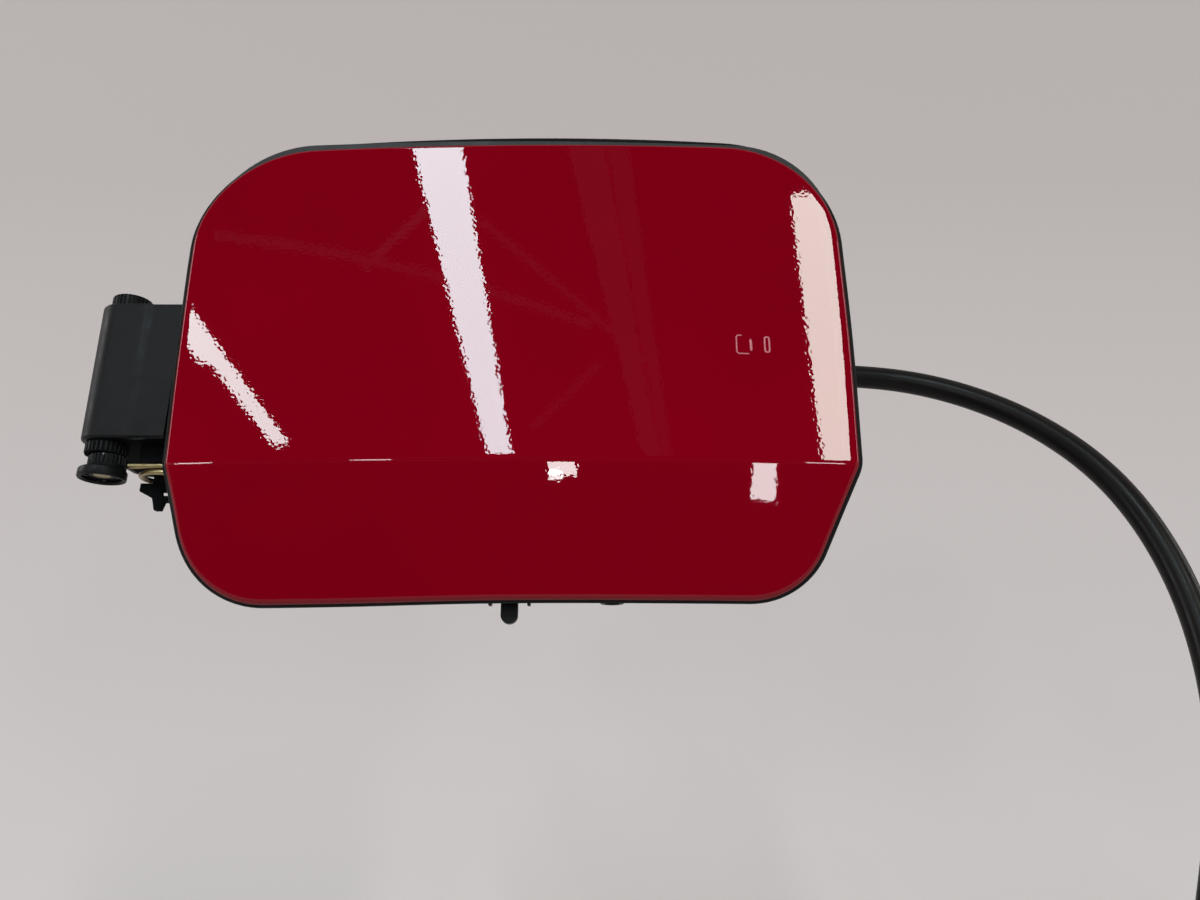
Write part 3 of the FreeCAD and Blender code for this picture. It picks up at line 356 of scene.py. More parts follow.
class Patchwork:
    """Surfaces that are joined into one closed mesh."""

    def __init__(self, name: str) -> None:
        """Start an empty piece with the name given.

        Args:
            name: the piece's name.
        """
        self.name = name
        self.points: list[Array] = []
        self.faces: list[Array] = []
        self.count = 0

    def sheet(self, points: Array, wrap_rows: bool = False, wrap_columns: bool = False) -> "Patchwork":
        """Add one surface.

        Args:
            points: an array of rows, columns and three coordinates, in millimetres.
            wrap_rows: whether the last row joins the first.
            wrap_columns: whether the last column joins the first.

        Returns:
            This piece, so that surfaces can be chained.
        """
        number = self.count + np.arange(points[..., 0].size).reshape(points.shape[:2])
        self.points.append(points.reshape(-1, 3))
        self.count += number.size
        if wrap_rows:
            number = np.concatenate([number, number[:1]])
        if wrap_columns:
            number = np.concatenate([number, number[:, :1]], axis=1)
        corners = joined(number[:-1, :-1], number[:-1, 1:], number[1:, 1:], number[1:, :-1])
        self.faces.append(corners.reshape(-1, 4))
        return self

    def finish(self, sharp: float = 40.0) -> Object:
        """Merge the surfaces' shared edges, turn the faces outwards and make the object.

        Args:
            sharp: edges that turn by more than this many degrees stay sharp.

        Returns:
            The object, at the origin.
        """
        mesh = bpy.data.meshes.new(self.name)
        mesh.from_pydata((np.concatenate(self.points) * MM).tolist(), [], np.concatenate(self.faces).tolist())
        work = bmesh.new()
        work.from_mesh(mesh)
        bmesh.ops.remove_doubles(work, verts=work.verts, dist=MERGE_DISTANCE)
        bmesh.ops.dissolve_degenerate(work, edges=work.edges, dist=SLIVER)
        bmesh.ops.recalc_face_normals(work, faces=work.faces)
        work.to_mesh(mesh)
        work.free()
        mesh.polygons.foreach_set("use_smooth", np.ones(len(mesh.polygons), dtype=bool))
        mesh.set_sharp_from_angle(angle=math.radians(sharp))
        return placed(self.name, mesh)


def carried(path: Array, profile: Array, reference: tuple[float, float, float],
            scale: Optional[Array] = None) -> Array:
    """Carry a flat profile along a path, square to it.

    Each profile point (a, b) lands at path + a * side + b * up, where side is tangent x reference and up is
    side x tangent.

    Args:
        path: points along the path.
        profile: points of the section.
        reference: a direction that the path never runs along.
        scale: the section's size at each path point.

    Returns:
        An array of path points, profile points and three coordinates.
    """
    tangent = unit(np.gradient(path, axis=0))
    side = unit(np.cross(tangent, np.array(reference)))
    up = np.cross(side, tangent)
    size = np.ones(len(path)) if scale is None else scale
    section = profile[None, :, :] * size[:, None, None]
    return path[:, None, :] + section[..., :1] * side[:, None, :] + section[..., 1:] * up[:, None, :]


def ring(radius: float, count: int) -> Array:
    """A circle of points as a profile."""
    turn = np.linspace(0.0, TAU, count, endpoint=False)
    return radius * joined(np.cos(turn), np.sin(turn))


def turned(profile: Array, centre: tuple[float, float], count: int,
           wave: Optional[Callable[[Array, Array], Array]] = None) -> Array:
    """Turn a profile of (radius, height) about an upright axis.

    A point at turn t lands at centre + (radius + wave) * (cos t, sin t), at its height.

    Args:
        profile: rows of radius and height.
        centre: the axis in X and Y.
        count: points around.
        wave: added to the radius, from the turn and the row number as grids.

    Returns:
        An array of profile points, points around and three coordinates.
    """
    turn = np.linspace(0.0, TAU, count, endpoint=False)[None, :]
    row = np.arange(len(profile))[:, None]
    radius = profile[:, :1] + (0.0 if wave is None else wave(turn, row))
    x = centre[0] + radius * np.cos(turn)
    y = centre[1] + radius * np.sin(turn)
    z = np.broadcast_to(profile[:, 1:], x.shape)
    return joined(x, y, z)


def corners_of(node: str) -> tuple[Array, Array]:
    """A CAD node's lowest and highest corners in millimetres."""
    low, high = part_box(node)
    return np.array(low) / MM, np.array(high) / MM


def dress(node: str, finish: Finish) -> None:
    """Give a CAD node its finish.

    Args:
        node: the CAD node's name.
        finish: its surface.
    """
    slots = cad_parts[node].data.materials
    slots.clear()
    slots.append(finish.material())
    LOG.info("dressed %s with %s", node, finish.name)


def settle(piece: Object, finish: Finish, body: str, slot: str, *nodes: str) -> None:
    """Give a new piece its finish and body, and let it stand for CAD nodes.

    Args:
        piece: the new piece.
        finish: its surface.
        body: the CAD body that it rides on.
        slot: the record's material slot; not used.
        nodes: the CAD nodes that it replaces.
    """
    piece.data.materials.clear()
    piece.data.materials.append(finish.material())
    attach(piece, body)
    if nodes:
        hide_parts(*nodes)
    LOG.info("made %s on %s", piece.name, body)


@dataclass
class FlapForm:
    """The flap's outline and crowned, creased face."""

    left: float = 104.3
    right: float = 102.4
    top: float = 75.5
    bottom: float = 75.6
    crease: float = 36.0
    slant_left: float = 15.0
    slant_right: float = 24.0
    round_top_left: float = 36.5
    round_top_right: float = 35.5
    round_low_left: float = 28.5
    round_low_right: float = 24.0
    round_crease: float = 6.0
    depth: float = 60.0
    crown_radius: float = 1080.0
    crown_rise: float = 5.0
    fold: float = 13.0
    crease_softness: float = 0.5
    top_drop: float = 2.75
    top_slope: float = 0.0085
    crease_tuck: float = 1.7
    left_bulge: float = 0.6
    right_bulge: float = 0.9
    bottom_lift: float = 0.6
    tuck_place: tuple[float, float] = (-45.0, 34.0)
    left_bulge_place: tuple[float, float] = (40.0, 25.0)
    right_bulge_place: tuple[float, float] = (5.0, 38.0)
    lift_turn: float = -28.0
    lift_span: float = 25.0
    past_edge: float = 1.2
    crease_band: float = 3.0

    def face(self, x: Array, z: Array) -> Array:
        """The face's Y at each place: a circle from side to side, and a soft fold below the crease.

        Args:
            x: places across.
            z: places up.

        Returns:
            The face's Y.
        """
        crown = self.crown_radius - np.sqrt(self.crown_radius ** 2 - x ** 2)
        below = -self.crease - z
        lean = 0.5 * (below + np.sqrt(below ** 2 + self.crease_softness ** 2))
        return -self.depth - self.crown_rise + crown + math.tan(math.radians(self.fold)) * lean

    def eased(self, x: Array, z: Array) -> tuple[Array, Array]:
        """Ease the drawn outline to the pressed one.

        The sides move by bell curves of the height, and the top and bottom by straight drops. All of these
        fade towards the middle.

        Args:
            x: places across.
            z: places up.

        Returns:
            The places across and up after easing.
        """
        def bell(place: tuple[float, float]) -> Array:
            """One at a height, falling off over a width."""
            middle, width = place
            return np.exp(-((z - middle) / width) ** 2)
        to_left = np.clip(-x / self.left, 0.0, self.past_edge) ** 2
        to_right = np.clip(x / self.right, 0.0, self.past_edge) ** 2
        to_top = np.clip(z / self.top, 0.0, self.past_edge) ** 2
        to_bottom = np.clip((-z - self.crease) / (self.bottom - self.crease), 0.0, self.past_edge)
        tuck = self.crease_tuck * bell(self.tuck_place)
        across = to_left * (tuck - self.left_bulge * bell(self.left_bulge_place))
        across = across + to_right * self.right_bulge * bell(self.right_bulge_place)
        up = to_bottom * self.bottom_lift * np.tanh((x - self.lift_turn) / self.lift_span)
        return x + across, z + up - to_top * (self.top_drop - self.top_slope * x)

    def side(self, right: bool, inset: float, steps: int = 48) -> Array:
        """One side of the outline from bottom to top: three rounded corners joined by straight runs.

        Args:
            right: which side.
            inset: how far inside the outline.
            steps: points on each rounded corner.

        Returns:
            Rows of x and z with z growing.
        """
        sign = 1.0 if right else -1.0
        reach = self.right if right else self.left
        slant = math.radians(self.slant_right if right else self.slant_left)
        low_round = (self.round_low_right if right else self.round_low_left) - inset
        top_round = (self.round_top_right if right else self.round_top_left) - inset
        run = self.bottom - self.crease - inset
        corners = [
            np.array([0.0, -self.bottom + inset]),
            np.array([reach - run * math.tan(slant) - inset / math.cos(slant), -self.bottom + inset]),
            np.array([reach - inset, -self.crease + inset * math.tan(slant / 2)]),
            np.array([reach - inset, self.top - inset]),
            np.array([0.0, self.top - inset]),
        ]
        parts = []
        for before, here, after, radius in zip(corners, corners[1:], corners[2:],
                                               (low_round, self.round_crease, top_round)):
            back, ahead = unit(before - here), unit(after - here)
            half = 0.5 * math.acos(float(np.clip(back @ ahead, -1.0, 1.0)))
            centre = here + unit(back + ahead) * radius / math.sin(half)
            start = here + back * radius / math.tan(half) - centre
            end = here + ahead * radius / math.tan(half) - centre
            sweep = math.atan2(start[0] * end[1] - start[1] * end[0], float(start @ end))
            turn = math.atan2(start[1], start[0]) + sweep * np.linspace(0.0, 1.0, steps)
            parts.append(centre + radius * joined(np.cos(turn), np.sin(turn)))
        chain = np.concatenate(parts)
        chain[:, 0] *= sign
        return chain

    def levels(self, inset: float) -> Array:
        """Heights of the face's rows from bottom to top: close on the rounded corners and at the crease.

        Args:
            inset: how far inside the outline the rows end.

        Returns:
            The heights, growing.
        """
        turn = np.linspace(0.0, QUARTER, 26)
        low = -self.bottom + inset + (self.round_low_left - inset) * (1.0 - np.sin(turn[::-1]))
        high = self.top - inset - (self.round_top_left - inset) * (1.0 - np.sin(turn))
        fine = -self.crease + np.linspace(-self.crease_band, self.crease_band, 41)
        plain = np.linspace(fine[-1], high[0], 42)[1:-1]
        lower = np.linspace(low[-1], fine[0], 10)[1:-1]
        return np.concatenate([low, lower, fine, plain, high])

    def grid(self, inset: float, columns: int = 132) -> tuple[Array, Array]:
        """A grid over the face: each row runs from the left side to the right side at its own height.

        Args:
            inset: how far inside the outline the grid ends.
            columns: points along a row.

        Returns:
            The grid's x and z, before easing.
        """
        level = self.levels(inset)
        sides = (self.side(False, inset), self.side(True, inset))
        ends = [np.interp(level, chain[:, 1], chain[:, 0]) for chain in sides]
        share = np.linspace(0.0, 1.0, columns)[None, :]
        x = ends[0][:, None] * (1.0 - share) + ends[1][:, None] * share
        return x, np.broadcast_to(level[:, None], x.shape).copy()

    def border(self, x: Array, z: Array) -> tuple[Array, Array]:
        """The closed border of a grid and its outward direction.

        Args:
            x: the grid's x.
            z: the grid's z.

        Returns:
            The border's points and their outward directions, as rows of x and z.
        """
        def walk(values: Array) -> Array:
            """Go round the grid's four sides."""
            return np.concatenate([values[0, :-1], values[:-1, -1], values[-1, :0:-1], values[:0:-1, 0]])
        points = joined(walk(x), walk(z))
        along = unit(np.roll(points, -1, axis=0) - points) + unit(points - np.roll(points, 1, axis=0))
        along = unit(along)
        return points, joined(along[:, 1], -along[:, 0])

    def laid(self, x: Array, z: Array, behind: Array | float) -> Array:
        """Lay places across and up on the face, some way behind it, as points in space."""
        across, up = self.eased(x, z)
        return joined(across, self.face(across, z) + behind, up)

    def band(self, edge: Array, outward: Array, offset: Array, behind: Array) -> Array:
        """Lay a band along a border: its points moved outwards by offsets, some way behind the face."""
        x, z = (edge[None, :, i] + offset * outward[None, :, i] for i in (0, 1))
        return self.laid(x, z, behind)


@dataclass
class Flap:
    """The red skin, its rubber lip and what shows on its face."""

    form: FlapForm = field(default_factory=FlapForm)
    skin: float = 0.9
    edge_round: float = 1.5
    hem_depth: float = 2.6
    lip_inset: float = 7.0
    lip_thickness: float = 1.6
    lip_start: float = 2.7
    bulb: float = 1.1
    bulb_depth: float = 2.5
    proud_left: float = 1.5
    proud_right: float = 1.4
    proud_top: float = 3.7
    proud_bottom: float = 0.7
    proud_least: float = 0.8
    top_bow: float = 1.3
    bow_span: float = 75.0
    hem_round: float = 0.25
    hem_wall: float = 0.6
    flat_front: float = 0.55
    flat_rear: float = 0.7
    bulb_turn: tuple[float, float] = (-0.75, 0.65)
    ridge_height: float = 0.17
    ridge_sink: float = 0.05
    ridge_taper: float = 0.5
    bracket: tuple[tuple[float, float], ...] = (
        (69.0, 4.5), (67.8, 4.5), (67.35, 4.3), (67.1, 3.8), (67.1, -0.9), (67.35, -1.4), (67.8, -1.6),
        (71.0, -1.6),
    )
    bracket_width: float = 0.24
    bar: tuple[tuple[float, float], ...] = ((71.4, 3.4), (71.5, -0.7))
    bar_width: float = 0.42
    loop_middle: tuple[float, float] = (76.4, 1.6)
    loop_reach: tuple[float, float] = (0.7, 2.5)
    loop_squareness: float = 0.4
    loop_width: float = 0.3

    def make_skin(self) -> Object:
        """The skin: face, rolled edge, side wall, hem and back, as one closed shell.

        Returns:
            The piece.
        """
        form, round_ = self.form, self.edge_round
        x, z = form.grid(round_)
        edge, outward = form.border(x, z)
        roll = np.linspace(0.0, QUARTER, 9)
        section = np.concatenate([
            joined(round_ * np.sin(roll), round_ * (1.0 - np.cos(roll))),
            np.array([[round_, self.hem_wall * self.hem_depth], [round_, self.hem_depth - self.hem_round],
                      [round_ - self.hem_round, self.hem_depth], [0.0, self.hem_depth], [0.0, self.skin]]),
        ])
        piece = Patchwork("flap_skin")
        piece.sheet(form.laid(x, z, 0.0))
        piece.sheet(form.band(edge, outward, section[:, :1], section[:, 1:]), wrap_columns=True)
        piece.sheet(form.laid(x, z, self.skin))
        return piece.finish(sharp=50.0)

    def proud(self, edge: Array, outward: Array) -> Array:
        """How far the lip stands outside the skin: its own value on each side, and a bow along the top.

        Args:
            edge: the border's points, as rows of x and z.
            outward: their outward directions.

        Returns:
            One length for each point.
        """
        along, up = outward[:, 0], outward[:, 1]
        top = self.proud_top - self.top_bow * (edge[:, 0] / self.bow_span) ** 2
        top = np.maximum(top, self.proud_least)
        sides = ((self.proud_left, -along), (self.proud_right, along), (top, up), (self.proud_bottom, -up))
        return sum(reach * np.clip(facing, 0.0, 1.0) ** 2 for reach, facing in sides)

    def make_lip(self) -> Object:
        """The rubber lip: a flat strip with a round bulb, carried round the outline behind the hem.

        Returns:
            The piece.
        """
        form = self.form
        x, z = form.grid(self.lip_inset)
        edge, outward = form.border(x, z)
        reach = self.lip_inset + self.proud(edge, outward) - self.bulb
        end = self.lip_start + self.lip_thickness
        turn = math.pi * np.linspace(*self.bulb_turn, 15)
        bulb = [np.ones_like(turn), self.bulb * np.cos(turn), self.bulb_depth + self.bulb * np.sin(turn)]
        section = np.concatenate([
            np.array([[0.0, 0.0, self.lip_start], [self.flat_front, 0.0, self.lip_start]]),
            joined(*bulb),
            np.array([[self.flat_rear, 0.0, end], [0.0, 0.0, end]]),
        ])
        offset = section[:, :1] * reach[None, :] + section[:, 1:2]
        points = form.band(edge, outward, offset, section[:, 2:])
        return Patchwork("edge_lip").sheet(points, wrap_rows=True, wrap_columns=True).finish(sharp=50.0)

    def make_latch_mark(self) -> Object:
        """Where the latch foot reads through the paint: low rounded ridges on the face.

        Each ridge is a small oval profile carried along a path on the face: an open bracket, a bar and a
        closed loop, which is a superellipse.

        Returns:
            The piece.
        """
        turn = TAU * np.linspace(0.0, 1.0, 49)
        circle = joined(np.cos(turn), np.sin(turn))
        square = np.array(self.loop_reach) * squarer(circle, self.loop_squareness)
        ridges = (
            (np.array(self.bracket), self.bracket_width, False),
            (np.array(self.bar), self.bar_width, False),
            (np.array(self.loop_middle) + square, self.loop_width, True),
        )
        piece = Patchwork("latch_mark")
        for path, wide, closed in ridges:
            profile = ring(1.0, 12) * np.array([wide, self.ridge_height])
            line = self.form.laid(path[:, 0], path[:, 1], self.ridge_sink)
            steps = np.linalg.norm(np.diff(line, axis=0), axis=1)
            length = np.concatenate([[0.0], np.cumsum(steps)])
            even = np.linspace(0.0, length[-1], 60, endpoint=not closed)
            line = joined(*[np.interp(even, length, line[:, i]) for i in range(3)])
            taper = np.clip(np.minimum(even, even[::-1]) / self.ridge_taper, 0.0, 1.0) ** 0.5
            ridge = carried(line, profile, (0.0, 1.0, 0.0), None if closed else taper)
            piece.sheet(ridge, wrap_rows=closed, wrap_columns=True)
        return piece.finish()

    def build(self) -> None:
        """Make the flap's own pieces and dress what it carries."""
        settle(self.make_skin(), CRIMSON_PAINT, "flap", "red_paint", "outer_panel")
        settle(self.make_lip(), SEAL_RUBBER, "flap", "seal_rubber", "edge_seal")
        # the ridges' paler paint is a painted highlight along the latch mark
        settle(self.make_latch_mark(), RIDGE_HIGHLIGHT_PAINT, "flap", "red_paint")
        dress("inner_panel", CARRIER_BLACK)
        dress("latch_striker", CARRIER_BLACK)
        dress("bump_stops", SEAL_RUBBER)


@dataclass
class Hinge:
    """The hinge box's skin, the pin's ribbed cap and foot, the ribbed boss, the spring and the arm."""

    axis: tuple[float, float] = (-127.0, -48.0)
    ribs: int = 28
    rib_points: int = 12
    rib_height: float = 0.4
    rib_middle: float = 0.5
    rib_flank: float = 1.6
    neck_shift: float = 1.1
    pin_radius: float = 2.5
    wire: float = 1.8
    coil_radius: float = 8.6
    coil_turns: float = 1.25
    coil_centre: tuple[float, float] = (-110.0, -39.0)
    box_top: float = 19.1
    box_bottom: float = -25.7
    box_front: float = -55.0
    box_rear: float = -12.0
    box_left: float = -134.0
    box_mouth: float = -106.6
    box_round: float = 6.7
    step: float = -117.5
    step_softness: float = 0.45
    shell_stand: float = 0.3
    barrel_stand: float = 0.55
    shell_edge: float = 0.9
    shell_depth: float = 1.9
    shell_cover: float = 0.2
    draft_low: float = 0.45
    draft_gain: float = 0.55
    cap_lift: float = 0.2
    dome_round: float = 1.4
    dome_height: float = 0.5
    foot_trim: float = 0.7
    foot_wall: float = 1.3
    neck_radius: float = 5.6
    shoulder: float = 3.3
    spokes: int = 4
    spoke_turn: float = 0.35
    spoke_half_width: float = 0.6
    spoke_squareness: float = 0.35
    ring_low: float = 0.35
    ring_high: float = 4.1
    ring_inner: float = 5.4
    ring_outer: float = 6.1
    leg_gap: float = 0.3
    tip: float = 0.0001

    def make_box_shell(self) -> Object:
        """The hinge box's outer skin: a rounded-edged band carried along the box's front, left side and rear.

        The band stands a little further out over the barrel than over the flat front, and more at the top
        than at the bottom, as the box's draft does.

        Returns:
            The piece.
        """
        turn = np.linspace(QUARTER, math.pi, 16)[:, None]
        near = np.array([self.box_left + self.box_round, self.box_front + self.box_round])
        far = np.array([self.box_left + self.box_round, self.box_rear - self.box_round])
        arc = self.box_round * np.concatenate([np.cos(turn), -np.sin(turn)], axis=1)
        front = joined(np.linspace(self.box_mouth, near[0], 60), np.full(60, self.box_front))
        side = joined(np.full(12, self.box_left), np.linspace(near[1], far[1], 12))
        rear = joined(np.linspace(far[0], self.box_mouth, 20), np.full(20, self.box_rear))
        path = np.concatenate([front[:-1], near + arc, side[1:-1], far + (arc * [1.0, -1.0])[::-1], rear[1:]])
        along = unit(np.gradient(path, axis=0))
        outward = joined(-along[:, 1], along[:, 0])
        outward *= -np.sign(outward[0, 1])
        barrel = 1.0 / (1.0 + np.exp((path[:, 0] - self.step) / self.step_softness))
        on_rear = path[:, 1] > 0.5 * (self.box_front + self.box_rear)
        stand = self.shell_stand + np.where(on_rear, 0.0, self.barrel_stand * barrel)
        edge = self.shell_edge
        bend = np.linspace(0.0, QUARTER, 7)
        high, low = self.box_top + self.shell_cover, self.box_bottom - self.shell_cover
        upper = joined(edge * (np.sin(bend) - 1.0), high - edge * (1.0 - np.cos(bend)))
        lower = joined(edge * (np.cos(bend) - 1.0), low + edge * (1.0 - np.sin(bend)))
        section = np.concatenate([[[-self.shell_depth, high]], upper, lower, [[-self.shell_depth, low]]])
        draft = np.clip((section[:, 1] - low) / (high - low), 0.0, 1.0)
        offset = section[None, :, 0] + stand[:, None] * (self.draft_low + self.draft_gain * draft[None, :])
        flat = path[:, None, :] + outward[:, None, :] * offset[..., None]
        z = np.broadcast_to(section[None, :, 1], offset.shape)
        points = np.concatenate([flat, z[..., None]], axis=-1)
        caps = [np.broadcast_to(end.mean(axis=0), end.shape) for end in (points[0], points[-1])]
        points = np.concatenate([caps[0][None], points, caps[1][None]])
        return Patchwork("hinge_box_shell").sheet(points, wrap_columns=True).finish(sharp=40.0)

    def ribbing(self, rows: Array) -> Callable[[Array, Array], Array]:
        """A wave for turned(): ribs on each row by its share of their height, a squared-off cosine.

        Args:
            rows: how much of the ribs' height each row has.

        Returns:
            A function of the turn and the row number.
        """
        def wave(turn: Array, row: Array) -> Array:
            """Rib height at each turn and row."""
            crest = np.clip(self.rib_middle + self.rib_flank * np.cos(self.ribs * turn), 0.0, 1.0)
            return -self.rib_height * rows[row] * (1.0 - crest)
        return wave

    def ribbed(self, name: str, profile: Array, height: Array, shift: Array | float = 0.0) -> Patchwork:
        """Start a piece with a profile turned about the pin.

        Args:
            name: the piece's name.
            profile: rows of radius and height.
            height: how much of the ribs' height each row has.
            shift: how far each row is set to the right.

        Returns:
            The piece, to which more can be added.
        """
        points = turned(profile, self.axis, self.ribs * self.rib_points, self.ribbing(height))
        points[..., 0] += shift
        return Patchwork(name).sheet(points, wrap_columns=True)

    def make_cap(self) -> Object:
        """The cap: a ribbed side under a low domed top.

        Returns:
            The piece.
        """
        low, high = corners_of("upper_pin_cap")
        radius, base, top = 0.5 * (high[0] - low[0]), low[2] + self.cap_lift, high[2] + self.cap_lift
        turn = np.linspace(0.0, QUARTER, 9)
        side_top = top - self.dome_height
        dome_radius = radius - self.dome_round + self.dome_round * np.cos(turn)
        dome_height = side_top + self.dome_height * np.sin(turn)
        profile = np.concatenate([
            np.array([[0.0, base], [radius - 0.5, base], [radius, base + 0.3], [radius, side_top]]),
            joined(dome_radius, dome_height)[1:],
            np.array([[0.0, top]]),
        ])
        height = np.where(profile[:, 0] > radius - 0.05, 1.0, 0.0)
        return self.ribbed("hinge_cap", profile, height).finish(sharp=35.0)

    def make_foot(self) -> Object:
        """The foot: a ribbed neck over a flared disc that is hollow below, with spokes to the pin's socket.

        The neck's rows of the turned profile are set a little to the right, as the moulding's neck is.

        Returns:
            The piece.
        """
        low, high = corners_of("lower_pin_hub")
        top, end = high[2], low[2]
        wide = 0.5 * (high[0] - low[0]) - self.foot_trim
        neck, shoulder, wall, pin = self.neck_radius, end + self.shoulder, self.foot_wall, self.pin_radius
        ceiling = shoulder - wall
        profile = np.array([
            [pin, top], [neck - 0.4, top], [neck, top - 0.3], [neck, shoulder + 1.2],
            [neck - 0.2, shoulder + 0.8], [neck + 0.2, shoulder + 0.3], [wide - 0.5, shoulder - 0.2],
            [wide - 0.12, shoulder - 0.5], [wide, shoulder - 1.0], [wide, end + 0.5],
            [wide - 0.2, end + 0.12], [wide - 0.6, end], [wide - 0.95, end + 0.2], [wide - wall, end + 0.6],
            [wide - wall - 0.1, ceiling - 0.4], [wide - wall - 0.6, ceiling], [pin + wall + 0.4, ceiling],
            [pin + wall, ceiling - 0.4], [pin + wall, end + wall + 0.3], [pin + wall - 0.3, end + wall],
            [pin + 0.2, end + wall], [pin, end + wall + 0.2], [pin, top],
        ])
        height = np.zeros(len(profile))
        height[2:4] = 1.0
        shift = np.zeros(len(profile))
        shift[1:6] = self.neck_shift * np.array([1.0, 1.0, 1.0, 1.0, 0.5])
        piece = self.ribbed("hinge_foot", profile, height, shift[:, None])
        reach = wide - wall - pin - wall + 0.4
        middle = pin + wall + 0.5 * reach - 0.2
        for turn in np.linspace(0.0, TAU, self.spokes, endpoint=False) + self.spoke_turn:
            piece.sheet(self.spoke(turn, middle, reach, end + 0.9, ceiling + 0.2), wrap_columns=True)
        return piece.finish(sharp=35.0)

    def spoke(self, turn: float, middle: float, reach: float, low: float, high: float) -> Array:
        """A rounded bar that points away from the axis: a superellipsoid of two angles.

        Args:
            turn: its direction about the axis.
            middle: its middle's distance from the axis.
            reach: its length.
            low: its lower end.
            high: its upper end.

        Returns:
            The bar's points.
        """
        up = np.linspace(-QUARTER, QUARTER, 13)[:, None]
        around = np.linspace(0.0, TAU, 24, endpoint=False)[None, :]
        waves = (np.cos(up), np.sin(up), np.cos(around), np.sin(around))
        level, rise, ahead, aside = (squarer(wave, self.spoke_squareness) for wave in waves)
        along = middle + 0.5 * reach * level * ahead
        across = self.spoke_half_width * level * aside
        z = 0.5 * (low + high) + 0.5 * (high - low) * rise * np.ones_like(around)
        x = self.axis[0] + along * math.cos(turn) - across * math.sin(turn)
        y = self.axis[1] + along * math.sin(turn) + across * math.cos(turn)
        return joined(x, y, z)

    def make_boss_ring(self) -> Object:
        """A ribbed sleeve on the box's lower boss.

        Returns:
            The piece.
        """
        hub_top = corners_of("lower_pin_hub")[1][2]
        low, high = hub_top + self.ring_low, hub_top + self.ring_high
        inner, outer = self.ring_inner, self.ring_outer
        profile = np.array([[inner, low], [outer - 0.4, low], [outer, low + 0.4], [outer, high - 0.5],
                            [outer - 0.4, high], [inner, high], [inner, low]])
        height = np.array([0.0, 0.3, 1.0, 1.0, 0.3, 0.0, 0.0])
        return self.ribbed("boss_ring", profile, height).finish(sharp=35.0)

    def make_spring(self) -> Object:
        """The torsion spring: a round wire carried along a straight leg, a falling turn and a second leg.

        Returns:
            The piece.
        """
        low, high = corners_of("hinge_spring")
        start, end = low[2] + 0.5 * self.wire, high[2] - 0.5 * self.wire
        share = np.linspace(0.0, 1.0, 180)
        turn = -TAU * self.coil_turns * share
        x = self.coil_centre[0] + self.coil_radius * np.cos(turn)
        y = self.coil_centre[1] + self.coil_radius * np.sin(turn)
        coil = joined(x, y, start + (end - start) * share)
        leg = np.linspace(1.0, 0.0, 14)[:-1, None]
        first = coil[0] + leg * np.array([0.0, self.coil_radius, 0.0])
        last = coil[-1] + (1.0 - leg) * np.array([low[0] + self.leg_gap - coil[-1][0], 0.0, 0.0])
        path = np.concatenate([first, coil, last[1:]])
        path = np.concatenate([path[:1], path, path[-1:]])
        path[0] -= [0.0, self.tip, 0.0]
        path[-1] -= [self.tip, 0.0, 0.0]
        scale = np.concatenate([[0.0], np.ones(len(path) - 2), [0.0]])
        points = carried(path, ring(0.5 * self.wire, 14), (0.0, 0.0, 1.0), scale)
        return Patchwork("return_spring").sheet(points, wrap_columns=True).finish(sharp=50.0)

    def build(self) -> None:
        """Make the hinge's pieces and dress its arm and pin."""
        settle(self.make_cap(), MOULDED_BLACK, "flap", "hinge_plastic", "upper_pin_cap")
        settle(self.make_foot(), MOULDED_BLACK, "flap", "hinge_plastic", "lower_pin_hub")
        settle(self.make_boss_ring(), MOULDED_BLACK, "housing", "bowl_plastic")
        settle(self.make_box_shell(), MOULDED_BLACK, "housing", "bowl_plastic")
        settle(self.make_spring(), YELLOW_ZINC, "housing", "spring_steel", "hinge_spring")
        dress("hinge_arm", COATED_STEEL)
        dress("hinge_pin", YELLOW_ZINC)
        dress("arm_screws", BRIGHT_ZINC)


@dataclass
class Dressed:
    """A sub-assembly that keeps its CAD shapes: its nodes and their finishes."""

    finishes: tuple[tuple[str, Finish], ...] = ()

    def build(self) -> None:
        """Dress each node."""
        for node, finish in self.finishes:
            dress(node, finish)


@dataclass
class Bowl(Dressed):
    """The moulded bowl with its hinge box and seals."""

    finishes: tuple[tuple[str, Finish], ...] = (
        ("bowl_floor", MOULDED_BLACK),
        ("bowl_lock_side", MOULDED_BLACK),
        ("bowl_upper_wall", MOULDED_BLACK),
        ("bowl_lower_wall", MOULDED_BLACK),
        # painted shade: the darker copy with almost no reflection, inside and under the hinge box
        ("hinge_housing", SHADED_MATT_BLACK),
        ("flange_seal", SEAL_RUBBER),
        ("neck_seal", SEAL_RUBBER),
    )


@dataclass
class Lock(Dressed):
    """The motor lock at the right of the bowl."""

    finishes: tuple[tuple[str, Finish], ...] = (
        ("lock_case", LOCK_BLACK),
        ("lock_cover", LOCK_BLACK),
        ("lock_gasket", SEAL_RUBBER),
        ("lock_screws", BRIGHT_ZINC),
        ("lock_motor", DRAWN_STEEL),
        ("lock_terminals", YELLOW_ZINC),
        ("lock_pinion", YELLOW_ZINC),
        ("lock_pin", BRIGHT_ZINC),
    )


